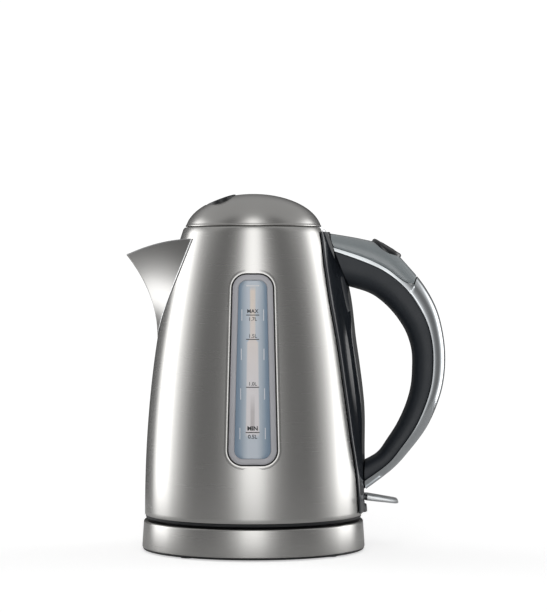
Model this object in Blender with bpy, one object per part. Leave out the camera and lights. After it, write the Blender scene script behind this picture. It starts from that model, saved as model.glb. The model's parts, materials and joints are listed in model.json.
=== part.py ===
"""Electric kettle: a steel jug with a water window that lifts off a cordless power base.

Runs in Blender 4.5: blender --background --python part.py
Metres, +Z up. The origin is on the jug's axis, at the surface the kettle stands on.
+X points at the handle, -X at the spout, and the water window faces -Y.
"""
import math

import bmesh
import bpy
from mathutils import Matrix, Vector

MM = 0.001

# ---- Driving sizes ---------------------------------------------------------------------
GAP = 0.3 * MM                  # clearance between pieces that touch or fit
ROUND = 32                      # sides of the large turned pieces
SMALL_ROUND = 16                # sides of pins, screws and feet

# Jug wall: an ellipse arc from the foot up to the rim
JUG_FOOT_R = 75.9 * MM
JUG_RIM_R = 48.6 * MM
JUG_HEIGHT = 199.9 * MM
JUG_WALL = 0.8 * MM
RIM_EDGE = 1.2 * MM             # height of the rounded edge on top of the wall
RIM_ROLL = 1.4 * MM             # how far the rim turns in over the wall
FLOOR_RISE = 31.3 * MM          # the floor above the wall's lower edge
FLOOR_WALL = 0.8 * MM
FLOOR_FLANGE = 3.0 * MM

# Heater and controls under the floor
HEAT_PLATE_CLEAR = 4.5 * MM     # from the heat plate to the steam tube
HEAT_PLATE_T = 2.4 * MM
ELEMENT_INSET = 4.5 * MM
ELEMENT_TUBE_R = 3.1 * MM
ELEMENT_START = 32.0            # degrees left open each side of +X between the terminals
CONTROL_WALL = 7.4 * MM         # the control unit's body around the plug
SWITCH_R = 8.0 * MM
SWITCH_H = 5.0 * MM
BIMETAL_R = 6.0 * MM
BIMETAL_BOW = 0.6 * MM
BIMETAL_T = 0.5 * MM

# Cover under the jug
BAND_H = 2.2 * MM
BAND_INSET = 0.6 * MM
COVER_WALL = 1.8 * MM
COVER_SPIGOT = 6.0 * MM
COVER_SCREWS_INSET = 23.9 * MM
COVER_SCREW_ANGLES = (60.0, 180.0, 300.0)
SCREW_HEAD_R = 2.0 * MM
SCREW_SHANK_R = 1.2 * MM

# Lid
LID_SEAM = 0.5 * MM             # open line between the jug's rim and the lid
LID_RISE = 23.1 * MM
LID_SINK = 3.5 * MM             # how far the dome's ellipse centre lies below the seam
LID_INSET = 1.2 * MM            # the lid's edge is this much inside the jug's rim
LID_SWELL = 0.3 * MM            # the dome's ellipse beyond the lid's edge
LID_WALL = 0.8 * MM
PLUG_DEPTH = 7.5 * MM
LINER_WALL = 1.6 * MM
SEAL_FOOT = 2.2 * MM            # the seal's groove, above the liner's foot
SEAL_TOP = 4.4 * MM
SEAL_PROUD = 0.2 * MM
COLLAR_WIDTH = 3.2 * MM
COLLAR_DEPTH = 10.5 * MM
PAD_SLOPE = math.radians(20.5)
PAD_RADIAL = 23.0 * MM          # the thumb pad's distance from the axis
PAD_LENGTH = 22.4 * MM
PAD_WIDTH = 36.0 * MM
PAD_DEPTH = 4.0 * MM
PAD_SINK = 0.75 * MM            # the pad's flat top below the dome's crown line there

# Lid hinge and latch
PIN_R = 0.9 * MM
KNUCKLE_R = 1.9 * MM
HINGE_OUT = 0.4 * MM            # hinge axis beyond the jug's rim
HINGE_DROP = 2.3 * MM           # hinge axis below the jug's rim
HINGE_HALF = 13.5 * MM
ARM_IN = 7.0 * MM
ARM_OUT = 10.7 * MM
ARM_WALL = 1.5 * MM
ARM_LEAD = 0.4 * MM             # the arm's plate stands this far inside the collar's bore
BRACKET_HALF = 1.8 * MM
BRACKET_DROP = 8.6 * MM
CATCH_HALF = 4.5 * MM
CATCH_DROP = 6.0 * MM
LATCH_HALF = 2.5 * MM
LATCH_THICK = 2.0 * MM
LATCH_DROP = 5.4 * MM           # the latch's level below the hinge axis
LATCH_CLEAR = 0.7 * MM          # from the latch's nose to the arm's plate
LATCH_SHORT = 3.6 * MM          # its other end stops this far before the button
LATCH_UNDER = 11.5 * MM         # and this far below the cover's curve
LATCH_TRAVEL = 1.5 * MM

# Spout
SPOUT_OUT = 21.66 * MM          # how far the tip stands out from where the keel starts
SPOUT_ROOT_DROP = 8.2 * MM      # heights below the rim
SPOUT_TIP_DROP = 18.9 * MM
SPOUT_FOOT_DROP = 76.4 * MM
SPOUT_HALF = 29.5 * MM          # half the width where it meets the jug's shoulder
SPOUT_WALL = 0.9 * MM
MOUTH_TOP_DROP = 16.4 * MM
MOUTH_FOOT_DROP = 58.9 * MM
MOUTH_FOOT_HALF = 8.0 * MM
MOUTH_TOP_HALF = 20.0 * MM
FILTER_LAP = 2.4 * MM           # the filter frame's overlap outside the pouring hole
FILTER_LIP = 1.5 * MM           # and inside it
FILTER_WALL = 1.6 * MM
FILTER_MESH_T = 0.5 * MM

# Water window
WINDOW_RISE = 7.5 * MM          # above the floor
WINDOW_DROP = 31.9 * MM         # below the rim
WINDOW_FOOT_HALF = 17.1 * MM
WINDOW_TOP_HALF = 14.5 * MM
WINDOW_CORNER = 10.5 * MM
GASKET_LINE = 0.9 * MM
PANE_DEPTH = 3.0 * MM           # the pane's inner face behind the wall's outer face
FRAME_LAP = 4.0 * MM            # how far the inner frame reaches behind the wall
STRIP_HALF = 3.9 * MM
STRIP_FOOT_LIFT = 21.0 * MM     # the gauge strip's end above the window's foot
STRIP_TOP_DROP = 15.0 * MM
STRIP_THICK = 1.2 * MM

# Handle
HANDLE_REACH = 65.6 * MM        # from the jug's wall to the outside of the loop
HANDLE_DROP = 3.7 * MM          # the loop's top below the rim
HANDLE_RISE = 19.0 * MM         # and its foot above the wall's lower edge
HANDLE_SKIN = 2.0 * MM
COVER_END = 3.42                # station of the loop where the top cover stops
COVER_STEP = 0.03               # the step there, in stations
SPINE_DROP = 3.1 * MM
SPINE_RISE = 2.0 * MM

# Release button
BUTTON_LENGTH = 23.0 * MM
BUTTON_WIDTH = 13.0 * MM
BUTTON_PLACE = 1.98             # station of the loop where the button sits
BUTTON_PROUD = 0.6 * MM         # its crown above the cover's curve
BUTTON_DROOP = 1.5 * MM
BUTTON_DEPTH = 6.0 * MM
BUTTON_TRAVEL = 2.5 * MM
BUTTON_SHAFT = 9.0 * MM         # half the length of the cover's shaft for it

# Switch
LEVER_WIDTH = 24.0 * MM
LEVER_REACH = 27.0 * MM         # from the pivot to the tip
LEVER_RISE = 13.0 * MM          # above the wall's lower edge
LEVER_ROOT = 4.2 * MM
LEVER_TIP = 2.7 * MM
LEVER_DROOP = math.radians(8.0)
LEVER_PIN_R = 1.1 * MM
CHEEK_CLEAR = 1.2 * MM          # from the paddle's hub to the bracket's cheeks
CHEEK_WALL = 2.2 * MM

# Power base
BASE_OUT = 1.9 * MM             # beyond the jug's foot
BASE_TAPER = 1.1 * MM
BASE_TOP_Z = 21.3 * MM
SEAT_RISE = 1.2 * MM            # the ring that the jug stands on, above the base's top
SKIRT_FOOT_Z = 2.4 * MM
SKIRT_WALL = 0.9 * MM
BASE_ROUND = 1.5 * MM
BASE_LIP = 6.0 * MM
PLATE_Z = 1.0 * MM
PLATE_WALL = 2.4 * MM
TROUGH_IN = 30.0 * MM
TROUGH_INSET = 19.8 * MM
TROUGH_TOP = 11.0 * MM
FEET_INSET = 9.8 * MM
FOOT_R = 5.6 * MM
FOOT_SEAT_WALL = 0.8 * MM       # the plate's wall left above a foot
FOOT_ANGLES = (50.0, 140.0, 230.0, 320.0)
SEAT_INSET = 10.4 * MM          # the seat ring inside the jug's foot
SEAT_WIDTH = 4.5 * MM
COVER_STEP_H = 2.6 * MM
CUP_WALL = 1.6 * MM
BASE_SCREWS_R = 20.5 * MM
BASE_SCREW_ANGLES = (14.0, 134.0, 254.0)
BASE_SCREW_R = 2.2 * MM
CORD_R = 3.4 * MM
CORD_Z = 9.2 * MM
BUSH_WALL = 1.6 * MM
BUSH_IN = 6.0 * MM
BUSH_PROUD = 3.0 * MM
CLAMP_HALF = 7.0 * MM
CLAMP_T = 4.0 * MM

# Cordless connector
SPIGOT_R = 13.5 * MM
SPIGOT_RISE = 11.7 * MM         # above the base's top
WELL_CLEAR = 2.9 * MM
SOCKET_FLANGE_R = 24.0 * MM
SOCKET_FLANGE_T = 2.4 * MM
SOCKET_FLOOR_T = 10.0 * MM
CONNECTOR_PIN_R = 1.6 * MM
CONNECTOR_RING_R = 7.9 * MM
RING_WALL = 0.9 * MM
GROOVE_CLEAR = 1.6 * MM         # the socket's room around the pin and outside the ring
PIN_LIFT = 4.0 * MM             # from the bottom of the bore to the pin's shoulder
CONTACT_WALL = 0.8 * MM
CONTACT_H = 7.0 * MM
EARTH_WALL = 0.6 * MM
EARTH_H = 5.0 * MM
PLUG_CLEAR = 2.3 * MM
PLUG_WALL = 2.2 * MM
PLUG_HEADROOM = 3.7 * MM        # the plug's top above the spigot
TUBE_R = 3.5 * MM
TUBE_WALL = 0.8 * MM
TUBE_INSET = 2.1 * MM           # the steam tube's axis inside the rim's radius

# ---- Derived places --------------------------------------------------------------------
JUG_SEAT_Z = BASE_TOP_Z + SEAT_RISE
JUG_BOTTOM_Z = JUG_SEAT_Z + GAP + BAND_H
JUG_RIM_Z = JUG_BOTTOM_Z + JUG_HEIGHT
FLOOR_Z = JUG_BOTTOM_Z + FLOOR_RISE
WALL_TOP_Z = JUG_RIM_Z - RIM_EDGE
JUG_CENTRE_Z = JUG_BOTTOM_Z + 3.0 * MM
JUG_ARC_H = (JUG_RIM_Z - JUG_CENTRE_Z) / math.sqrt(1.0 - (JUG_RIM_R / JUG_FOOT_R) ** 2)
SEAM_Z = JUG_RIM_Z + LID_SEAM
LID_R = JUG_RIM_R - LID_INSET
HINGE_X = JUG_RIM_R + HINGE_OUT
HINGE_Z = JUG_RIM_Z - HINGE_DROP
COLLAR_R = JUG_RIM_R - JUG_WALL - GAP - COLLAR_WIDTH
SPOUT_ROOT_Z = JUG_RIM_Z - SPOUT_ROOT_DROP
SPOUT_TIP_Z = JUG_RIM_Z - SPOUT_TIP_DROP
SPOUT_FOOT_Z = JUG_RIM_Z - SPOUT_FOOT_DROP
MOUTH_TOP_Z = JUG_RIM_Z - MOUTH_TOP_DROP
MOUTH_FOOT_Z = JUG_RIM_Z - MOUTH_FOOT_DROP
WINDOW_FOOT_Z = FLOOR_Z + WINDOW_RISE
WINDOW_TOP_Z = JUG_RIM_Z - WINDOW_DROP
HANDLE_TOP_Z = JUG_RIM_Z - HANDLE_DROP
HANDLE_FOOT_Z = JUG_BOTTOM_Z + HANDLE_RISE
SPINE_TOP_Z = JUG_RIM_Z - SPINE_DROP
SPINE_FOOT_Z = JUG_BOTTOM_Z + SPINE_RISE
LEVER_Z = JUG_BOTTOM_Z + LEVER_RISE
CHEEK_IN = LEVER_WIDTH / 4 + CHEEK_CLEAR
CHEEK_OUT = CHEEK_IN + CHEEK_WALL
BASE_R = JUG_FOOT_R + BASE_OUT
BASE_TOP_R = BASE_R - BASE_TAPER
TROUGH_OUT = BASE_R - TROUGH_INSET
FEET_R = BASE_R - FEET_INSET
SPIGOT_TOP_Z = BASE_TOP_Z + SPIGOT_RISE
WELL_R = SPIGOT_R + WELL_CLEAR
PLUG_R = SPIGOT_R + PLUG_CLEAR + PLUG_WALL
PLUG_TOP_Z = SPIGOT_TOP_Z + PLUG_HEADROOM
LATCH_ROOM = 2.5 * GAP + 0.4 * LATCH_TRAVEL
CONTROL_R = PLUG_R + 2 * GAP + CONTROL_WALL
TUBE_X = JUG_RIM_R - TUBE_INSET
HEAT_PLATE_R = TUBE_X - TUBE_R - HEAT_PLATE_CLEAR
WALL_STATIONS = 12

STEEL = ("brushed_steel", (0.42, 0.415, 0.40), 0.32, 1.0)
BRIGHT = ("bright_steel", (0.62, 0.63, 0.64), 0.14, 1.0)
SATIN = ("satin_silver", (0.50, 0.53, 0.55), 0.28, 1.0)
SMOKE = ("smoke_grey", (0.19, 0.21, 0.22), 0.25, 0.0)
GLOSS = ("gloss_black", (0.018, 0.021, 0.025), 0.12, 0.0)
BLACK = ("black_plastic", (0.020, 0.022, 0.025), 0.45, 0.0)
GRIP = ("soft_grip", (0.028, 0.033, 0.040), 0.55, 0.0)
RUBBER = ("rubber", (0.015, 0.015, 0.016), 0.8, 0.0)
PANE = ("window_blue", (0.36, 0.45, 0.52), 0.18, 0.0)
PALE = ("pale_plastic", (0.66, 0.63, 0.58), 0.5, 0.0)
SEAL = ("silicone", (0.52, 0.53, 0.54), 0.6, 0.0)
BRASS = ("brass", (0.60, 0.42, 0.18), 0.3, 1.0)
ALUMINIUM = ("aluminium", (0.60, 0.60, 0.61), 0.4, 1.0)


# ---- Building blocks -------------------------------------------------------------------
def clear_scene():
    """Remove whatever objects the file starts with."""
    for old in list(bpy.data.objects):
        bpy.data.objects.remove(old)


def finish_mesh(name, bm, material):
    """Turn a bmesh into a named object with its own material."""
    bmesh.ops.recalc_face_normals(bm, faces=bm.faces)
    mesh = bpy.data.meshes.new(name)
    bm.to_mesh(mesh)
    bm.free()
    mesh.shade_smooth()
    mesh.set_sharp_from_angle(angle=math.radians(30))
    label, colour, roughness, metallic = material
    slot = bpy.data.materials.new(f"{name}_{label}")
    slot.use_nodes = True
    shader = slot.node_tree.nodes["Principled BSDF"]
    shader.inputs["Base Color"].default_value = (*colour, 1.0)
    shader.inputs["Roughness"].default_value = roughness
    shader.inputs["Metallic"].default_value = metallic
    mesh.materials.append(slot)
    thing = bpy.data.objects.new(name, mesh)
    bpy.context.scene.collection.objects.link(thing)
    return thing


def loft(name, rings, material):
    """Skin a row of equal rings and cap both ends."""
    bm = bmesh.new()
    rows = [[bm.verts.new(point) for point in ring] for ring in rings]
    count = len(rows[0])
    for low, high in zip(rows, rows[1:]):
        for i in range(count):
            j = (i + 1) % count
            bm.faces.new((low[i], low[j], high[j], high[i]))
    bm.faces.new(rows[0])
    bm.faces.new(rows[-1])
    return finish_mesh(name, bm, material)


def revolve(name, profile, material, centre=(0.0, 0.0), sides=ROUND):
    """Turn a closed (radius, height) outline about a vertical axis."""
    bm = bmesh.new()
    rows = []
    for radius, height in profile:
        if radius == 0.0:
            rows.append([bm.verts.new((centre[0], centre[1], height))] * sides)
            continue
        turn = [2.0 * math.pi * i / sides for i in range(sides)]
        rows.append([bm.verts.new((centre[0] + radius * math.cos(a),
                                   centre[1] + radius * math.sin(a), height)) for a in turn])
    for low, high in zip(rows, rows[1:] + rows[:1]):
        for i in range(sides):
            j = (i + 1) % sides
            corners = []
            for vert in (low[i], low[j], high[j], high[i]):
                if vert not in corners:
                    corners.append(vert)
            if len(corners) > 2:
                bm.faces.new(corners)
    return finish_mesh(name, bm, material)


def prism(name, outline, axis, low, high, material):
    """Extrude a flat outline along X, Y or Z, from low to high."""
    def place(a, b, depth):
        return {"X": (depth, a, b), "Y": (a, depth, b), "Z": (a, b, depth)}[axis]

    rings = [[place(a, b, depth) for a, b in outline] for depth in (low, high)]
    return loft(name, rings, material)


def box(name, low, high, material=BLACK):
    """A block between two corners."""
    outline = [(low[0], low[1]), (high[0], low[1]), (high[0], high[1]), (low[0], high[1])]
    return prism(name, outline, "Z", low[2], high[2], material)


def rod(name, start, end, radius, material, sides=SMALL_ROUND):
    """A straight round bar between two points."""
    start, end = Vector(start), Vector(end)
    turn = (end - start).to_track_quat("Z", "Y").to_matrix()
    rings = []
    for middle in (start, end):
        rings.append([middle + turn @ Vector((radius * math.cos(2 * math.pi * i / sides),
                                              radius * math.sin(2 * math.pi * i / sides), 0.0))
                      for i in range(sides)])
    return loft(name, rings, material)


def combine(target, tool, operation):
    """Apply one Boolean step; the tool stays as a hidden guide."""
    tool.hide_render = True
    tool.display_type = "WIRE"
    step = target.modifiers.new(f"{operation.lower()} {tool.name}", "BOOLEAN")
    step.operation = operation
    step.solver = "EXACT"
    step.object = tool
    return target


def cut(target, tool):
    return combine(target, tool, "DIFFERENCE")


def join(target, tool):
    return combine(target, tool, "UNION")


def move_origin(thing, point):
    """Put an object's origin on a point, such as its joint's axis, without moving its shape."""
    offset = Vector(point)
    thing.data.transform(Matrix.Translation(-offset))
    thing.location = offset


def arc_points(centre, radius, start, end, steps):
    """Points on a flat arc, with angles in degrees."""
    points = []
    for i in range(steps + 1):
        angle = math.radians(start + (end - start) * i / steps)
        points.append((centre[0] + radius * math.cos(angle), centre[1] + radius * math.sin(angle)))
    return points


def smooth_value(x, points):
    """Read a smooth curve through (x, value) points, in rising x, without overshoot."""
    if x <= points[0][0]:
        return points[0][1]
    if x >= points[-1][0]:
        return points[-1][1]
    slopes = []
    for i, (px, value) in enumerate(points):
        if i == 0 or i == len(points) - 1:
            a, b = (points[0], points[1]) if i == 0 else (points[-2], points[-1])
            slopes.append((b[1] - a[1]) / (b[0] - a[0]))
            continue
        before = (value - points[i - 1][1]) / (px - points[i - 1][0])
        after = (points[i + 1][1] - value) / (points[i + 1][0] - px)
        slopes.append(0.0 if before * after <= 0.0 else 2 * before * after / (before + after))
    for i in range(len(points) - 1):
        (x0, y0), (x1, y1) = points[i], points[i + 1]
        if x <= x1:
            h = x1 - x0
            t = (x - x0) / h
            return ((2 * t ** 3 - 3 * t ** 2 + 1) * y0 + (t ** 3 - 2 * t ** 2 + t) * h * slopes[i]
                    + (3 * t ** 2 - 2 * t ** 3) * y1 + (t ** 3 - t ** 2) * h * slopes[i + 1])
    return points[-1][1]


# ---- Jug shape -------------------------------------------------------------------------
def arc_radius(z):
    """Radius of the ellipse that the wall's stations lie on."""
    rise = max(0.0, z - JUG_CENTRE_Z) / JUG_ARC_H
    return JUG_FOOT_R * math.sqrt(max(0.04, 1.0 - rise * rise))


def wall_radius(z):
    """Outer radius of the jug's wall at a height, straight between its stations."""
    step = (WALL_TOP_Z - JUG_BOTTOM_Z) / WALL_STATIONS
    place = (z - JUG_BOTTOM_Z) / step
    if not 0.0 < place < WALL_STATIONS:
        return arc_radius(z)
    low = JUG_BOTTOM_Z + int(place) * step
    share = place - int(place)
    return arc_radius(low) * (1.0 - share) + arc_radius(low + step) * share


def wall_heights(low, high, steps):
    return [low + (high - low) * i / steps for i in range(steps + 1)]


def wall_band(name, low, high, outer, inner, material, steps=WALL_STATIONS):
    """A turned band that follows the wall, between two offsets from its outer face."""
    heights = wall_heights(low, high, steps)
    outside = [(wall_radius(z) + outer, z) for z in heights]
    inside = [(wall_radius(z) + inner, z) for z in reversed(heights)]
    return revolve(name, outside + inside, material)


def window_outline(grow):
    """The window's rounded, tapered outline in X and Z, grown by a margin."""
    corner = WINDOW_CORNER + grow
    foot = WINDOW_FOOT_Z - grow + corner
    top = WINDOW_TOP_Z + grow - corner
    foot_x = WINDOW_FOOT_HALF + grow - corner
    top_x = WINDOW_TOP_HALF + grow - corner
    points = arc_points((foot_x, foot), corner, -90, 0, 4)
    points += arc_points((top_x, top), corner, 0, 90, 4)
    points += arc_points((-top_x, top), corner, 90, 180, 4)
    points += arc_points((-foot_x, foot), corner, 180, 270, 4)
    return points


def window_tool(name, grow):
    """A bar with the window's outline that runs out through the front wall."""
    return prism(name, window_outline(grow), "Y", -JUG_FOOT_R - 10 * MM, -JUG_RIM_R * 0.4, BLACK)


def mouth_outline(grow):
    """The pouring hole behind the spout, in Y and Z."""
    corner = 4 * MM
    right = [(MOUTH_FOOT_HALF + grow, MOUTH_FOOT_Z - grow), (MOUTH_TOP_HALF + grow, MOUTH_TOP_Z - corner),
             (MOUTH_TOP_HALF - corner + grow, MOUTH_TOP_Z + grow)]
    return right + [(-y, z) for y, z in reversed(right)]


def hinge_notch(name, reach=HINGE_X + BRACKET_HALF + 2 * GAP):
    """The space that the lid's hinge takes out of the rim, the collar and the spine."""
    half = HINGE_HALF + 2 * GAP
    return box(name, (COLLAR_R - 3 * MM, -half, HINGE_Z - BRACKET_DROP - 2.5 * GAP),
               (reach, half, JUG_RIM_Z + 4 * MM))


def make_jug_shell():
    heights = wall_heights(JUG_BOTTOM_Z, WALL_TOP_Z, WALL_STATIONS)
    outside = [(wall_radius(z), z) for z in heights]
    lip = [(JUG_RIM_R - 0.3 * MM, JUG_RIM_Z - 0.3 * MM), (JUG_RIM_R - 0.9 * MM, JUG_RIM_Z)]
    inside = [(wall_radius(z) - JUG_WALL, z) for z in reversed(heights)]
    roll_r = JUG_RIM_R - JUG_WALL - RIM_ROLL
    roll = [(roll_r, JUG_RIM_Z), (roll_r, JUG_RIM_Z - 0.6 * MM)]
    shell = revolve("jug_shell", outside + lip + roll + inside, STEEL)
    cut(shell, window_tool("cut_window", 0.0))
    reach = -JUG_FOOT_R - 20 * MM
    cut(shell, prism("cut_mouth", mouth_outline(0.0), "X", reach, -JUG_RIM_R * 0.5, BLACK))
    cut(shell, hinge_notch("cut_hinge_rim"))
    cut(shell, latch_bar("cut_latch_wall", latch_path(), 2 * LATCH_ROOM))
    cut(shell, lever_tool("cut_lever_wall", 0.6 * MM))
    return shell


def make_jug_floor():
    edge = wall_radius(FLOOR_Z) - JUG_WALL - GAP
    top = FLOOR_Z + FLOOR_FLANGE
    top_edge = wall_radius(top) - JUG_WALL - GAP
    profile = [(0.0, FLOOR_Z), (edge - MM, FLOOR_Z), (top_edge, top), (top_edge - FLOOR_WALL, top),
               (edge - MM - FLOOR_WALL, FLOOR_Z + FLOOR_WALL), (0.0, FLOOR_Z + FLOOR_WALL)]
    floor = revolve("jug_floor", profile, BRIGHT)
    low = (TUBE_X, 0.0, FLOOR_Z - 5 * MM)
    cut(floor, rod("cut_floor_tube", low, (TUBE_X, 0.0, FLOOR_Z + 5 * MM), TUBE_R + GAP, BLACK))
    return floor


def make_heater():
    plate_top = FLOOR_Z - GAP
    plate_foot = plate_top - HEAT_PLATE_T
    revolve("heat_plate", [(0.0, plate_foot), (HEAT_PLATE_R, plate_foot),
                           (HEAT_PLATE_R, plate_top), (0.0, plate_top)], ALUMINIUM)
    tube = ELEMENT_TUBE_R
    middle = plate_foot - GAP - tube
    rings = []
    steps = 20
    for i in range(steps + 1):
        turn = math.radians(ELEMENT_START + (360.0 - 2 * ELEMENT_START) * i / steps)
        outward = Vector((math.cos(turn), math.sin(turn), 0.0))
        centre = outward * (HEAT_PLATE_R - ELEMENT_INSET) + Vector((0.0, 0.0, middle))
        rings.append([centre + outward * (tube * math.cos(a)) + Vector((0, 0, tube * math.sin(a)))
                      for a in [2 * math.pi * k / 6 for k in range(6)]])
    loft("heating_element", rings, ALUMINIUM)


def make_control_unit():
    under = PLUG_TOP_Z + 2 * GAP
    top = FLOOR_Z - GAP - HEAT_PLATE_T - GAP
    inner = PLUG_R + 2 * GAP
    foot = JUG_BOTTOM_Z + 3 * MM
    revolve("control_unit", [(0.0, under), (inner, under), (inner, foot), (CONTROL_R, foot),
                             (CONTROL_R, top), (0.0, top)], BLACK, sides=24)
    switch_z = foot + MM
    switch_top = switch_z + SWITCH_H
    place = (TUBE_X, 0.0)
    revolve("steam_switch", [(0.0, switch_z), (SWITCH_R, switch_z), (SWITCH_R, switch_top),
                             (0.0, switch_top)], BLACK, place, SMALL_ROUND)
    disc_z = switch_top + GAP
    disc_top = disc_z + BIMETAL_BOW + BIMETAL_T
    disc = [(0.0, disc_z + BIMETAL_BOW), (BIMETAL_R, disc_z), (BIMETAL_R + GAP, disc_z + BIMETAL_T),
            (0.0, disc_top)]
    revolve("bimetal_disc", disc, BRASS, place, SMALL_ROUND)
    tube_foot = disc_top + 1.2 * MM
    tube_top = JUG_RIM_Z - COLLAR_DEPTH - 4 * MM
    bore = TUBE_R - TUBE_WALL
    revolve("steam_tube", [(TUBE_R, tube_foot), (TUBE_R, tube_top), (bore, tube_top), (bore, tube_foot)],
            SEAL, place, SMALL_ROUND)


def make_jug_underside():
    """The black band and the cover that closes the jug's foot around the connector."""
    z = JUG_BOTTOM_Z - BAND_H
    band = JUG_FOOT_R - BAND_INSET
    inside = JUG_FOOT_R - JUG_WALL - GAP
    bore = PLUG_R + 2 * GAP
    top = z + COVER_SPIGOT
    chamfer = 0.9 * MM
    circle = JUG_FOOT_R - COVER_SCREWS_INSET
    profile = [(bore, z), (band - chamfer, z), (band, z + chamfer), (band, JUG_BOTTOM_Z - GAP),
               (inside, JUG_BOTTOM_Z - GAP), (inside, top), (inside - COVER_WALL, top),
               (inside - COVER_WALL, z + COVER_WALL), (bore, z + COVER_WALL)]
    cover = revolve("jug_underside_cover", profile, BLACK)
    for number, angle in enumerate(COVER_SCREW_ANGLES, 1):
        turn = math.radians(angle)
        x, y = circle * math.cos(turn), circle * math.sin(turn)
        cut(cover, rod(f"cut_cover_screw_{number}", (x, y, z - MM), (x, y, z + COVER_WALL + 2 * MM),
                       SCREW_HEAD_R + GAP, BLACK))
        low, high = z + 0.4 * MM, z + 9 * MM
        revolve(f"underside_screw_{number}",
                [(0.0, low), (SCREW_HEAD_R, low), (SCREW_HEAD_R, low + MM),
                 (SCREW_SHANK_R, low + 2 * MM), (SCREW_SHANK_R, high), (0.0, high)], BRIGHT, (x, y), 12)


# ---- Water window ----------------------------------------------------------------------
def window_piece(name, grow, outer, inner, material, hole=None):
    """A curved pane or frame that fits the wall's window."""
    margin = max(grow, 0.0) + 2 * MM
    piece = wall_band(name, WINDOW_FOOT_Z - margin, WINDOW_TOP_Z + margin, outer, inner, material, 7)
    combine(piece, window_tool(f"trim_{name}", grow), "INTERSECT")
    if hole is not None:
        cut(piece, window_tool(f"hole_{name}", hole))
    return piece


def make_window():
    pane_edge = -GAP - GASKET_LINE - GAP
    window_piece("window_gasket", -GAP, 0.15 * MM, -JUG_WALL, RUBBER, -GAP - GASKET_LINE)
    window_piece("window_pane", pane_edge, -0.2 * MM, -PANE_DEPTH, PANE)
    window_piece("window_frame", FRAME_LAP, -JUG_WALL - GAP, -PANE_DEPTH, SEAL, pane_edge + GAP)
    foot, top = WINDOW_FOOT_Z + STRIP_FOOT_LIFT, WINDOW_TOP_Z - STRIP_TOP_DROP
    face = -PANE_DEPTH - GAP
    strip = wall_band("gauge_strip", foot - MM, top + MM, face, face - STRIP_THICK, PALE, 8)
    outline = [(-STRIP_HALF, foot), (STRIP_HALF, foot), (STRIP_HALF, top), (-STRIP_HALF, top)]
    combine(strip, prism("trim_gauge_strip", outline, "Y", -JUG_FOOT_R - 10 * MM, -JUG_RIM_R * 0.5, BLACK),
            "INTERSECT")


# ---- Spout -----------------------------------------------------------------------------
def spout_keel(v):
    """The sharp front edge, from where it leaves the wall (0) to the tip (1)."""
    z = SPOUT_FOOT_Z + (SPOUT_TIP_Z - SPOUT_FOOT_Z) * v
    root = wall_radius(SPOUT_FOOT_Z) + GAP
    return Vector((-root - SPOUT_OUT * v ** 2.1, 0.0, z))


def spout_seam(v):
    """Where the side meets the wall, from the foot (0) to the shoulder (1)."""
    z = SPOUT_FOOT_Z + (SPOUT_ROOT_Z - SPOUT_FOOT_Z) * v
    half = SPOUT_HALF * (1.0 - (1.0 - v) ** 2.2) ** 0.95
    radius = wall_radius(z) - GAP
    return Vector((-math.sqrt(radius * radius - half * half), half, z))


def spout_point(t, v):
    """A point on the side, from the keel (t=0) to the seam (t=1)."""
    point = spout_keel(v).lerp(spout_seam(v), t)
    swell = 4.0 * t * (1.0 - t)
    point.y += 2.2 * MM * swell * v
    point.z += 2.6 * MM * swell * v ** 3
    return point


def make_spout():
    bm = bmesh.new()
    across, up = 5, 10
    rows = []
    for j in range(1, up + 1):
        v = j / up
        side = [spout_point(i / across, v) for i in range(across + 1)]
        mirrored = [Vector((p.x, -p.y, p.z)) for p in reversed(side[1:])]
        rows.append([bm.verts.new(p) for p in mirrored + side])
    foot = bm.verts.new(spout_keel(0.0))
    for a, b in zip(rows[0], rows[0][1:]):
        bm.faces.new((foot, a, b))
    for low, high in zip(rows, rows[1:]):
        for i in range(len(low) - 1):
            bm.faces.new((low[i], low[i + 1], high[i + 1], high[i]))
    spout = finish_mesh("spout", bm, STEEL)
    inward = spout.data.polygons[-1].normal.x > 0
    thick = spout.modifiers.new("sheet thickness", "SOLIDIFY")
    thick.thickness = SPOUT_WALL
    thick.offset = 1.0 if inward else -1.0
    heights = wall_heights(SPOUT_FOOT_Z - 10 * MM, SPOUT_ROOT_Z + 5 * MM, 8)
    core = [(wall_radius(z) + GAP, z) for z in heights]
    return cut(spout, revolve("cut_spout_wall", [(0.0, heights[0])] + core + [(0.0, heights[-1])], BLACK))


def make_spout_filter():
    """The filter's frame and mesh, which stand behind the pouring hole."""
    def tool(name, grow, end):
        return prism(name, mouth_outline(grow), "X", -JUG_FOOT_R - 10 * MM, -JUG_RIM_R * end, BLACK)

    outer = -JUG_WALL - GAP
    low, high = MOUTH_FOOT_Z - 6 * MM, MOUTH_TOP_Z + 3.0 * MM
    frame = wall_band("spout_filter_frame", low, high, outer, outer - FILTER_WALL, BLACK, 6)
    combine(frame, tool("trim_filter_frame", FILTER_LAP, 0.4), "INTERSECT")
    cut(frame, tool("hole_filter_frame", -FILTER_LIP, 0.3))
    face = outer - FILTER_MESH_T
    mesh = wall_band("spout_filter_mesh", low, high, face, face - FILTER_MESH_T, BRIGHT, 6)
    combine(mesh, tool("trim_filter_mesh", -FILTER_LIP - GAP, 0.4), "INTERSECT")


# ---- Lid -------------------------------------------------------------------------------
def dome_radius(z, inset=0.0):
    """Radius of the lid's dome at a height."""
    centre = SEAM_Z - LID_SINK
    height = LID_RISE + LID_SINK - inset
    full = LID_R + LID_SWELL - inset
    return full * math.sqrt(max(0.0, 1.0 - ((z - centre) / height) ** 2))


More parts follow.
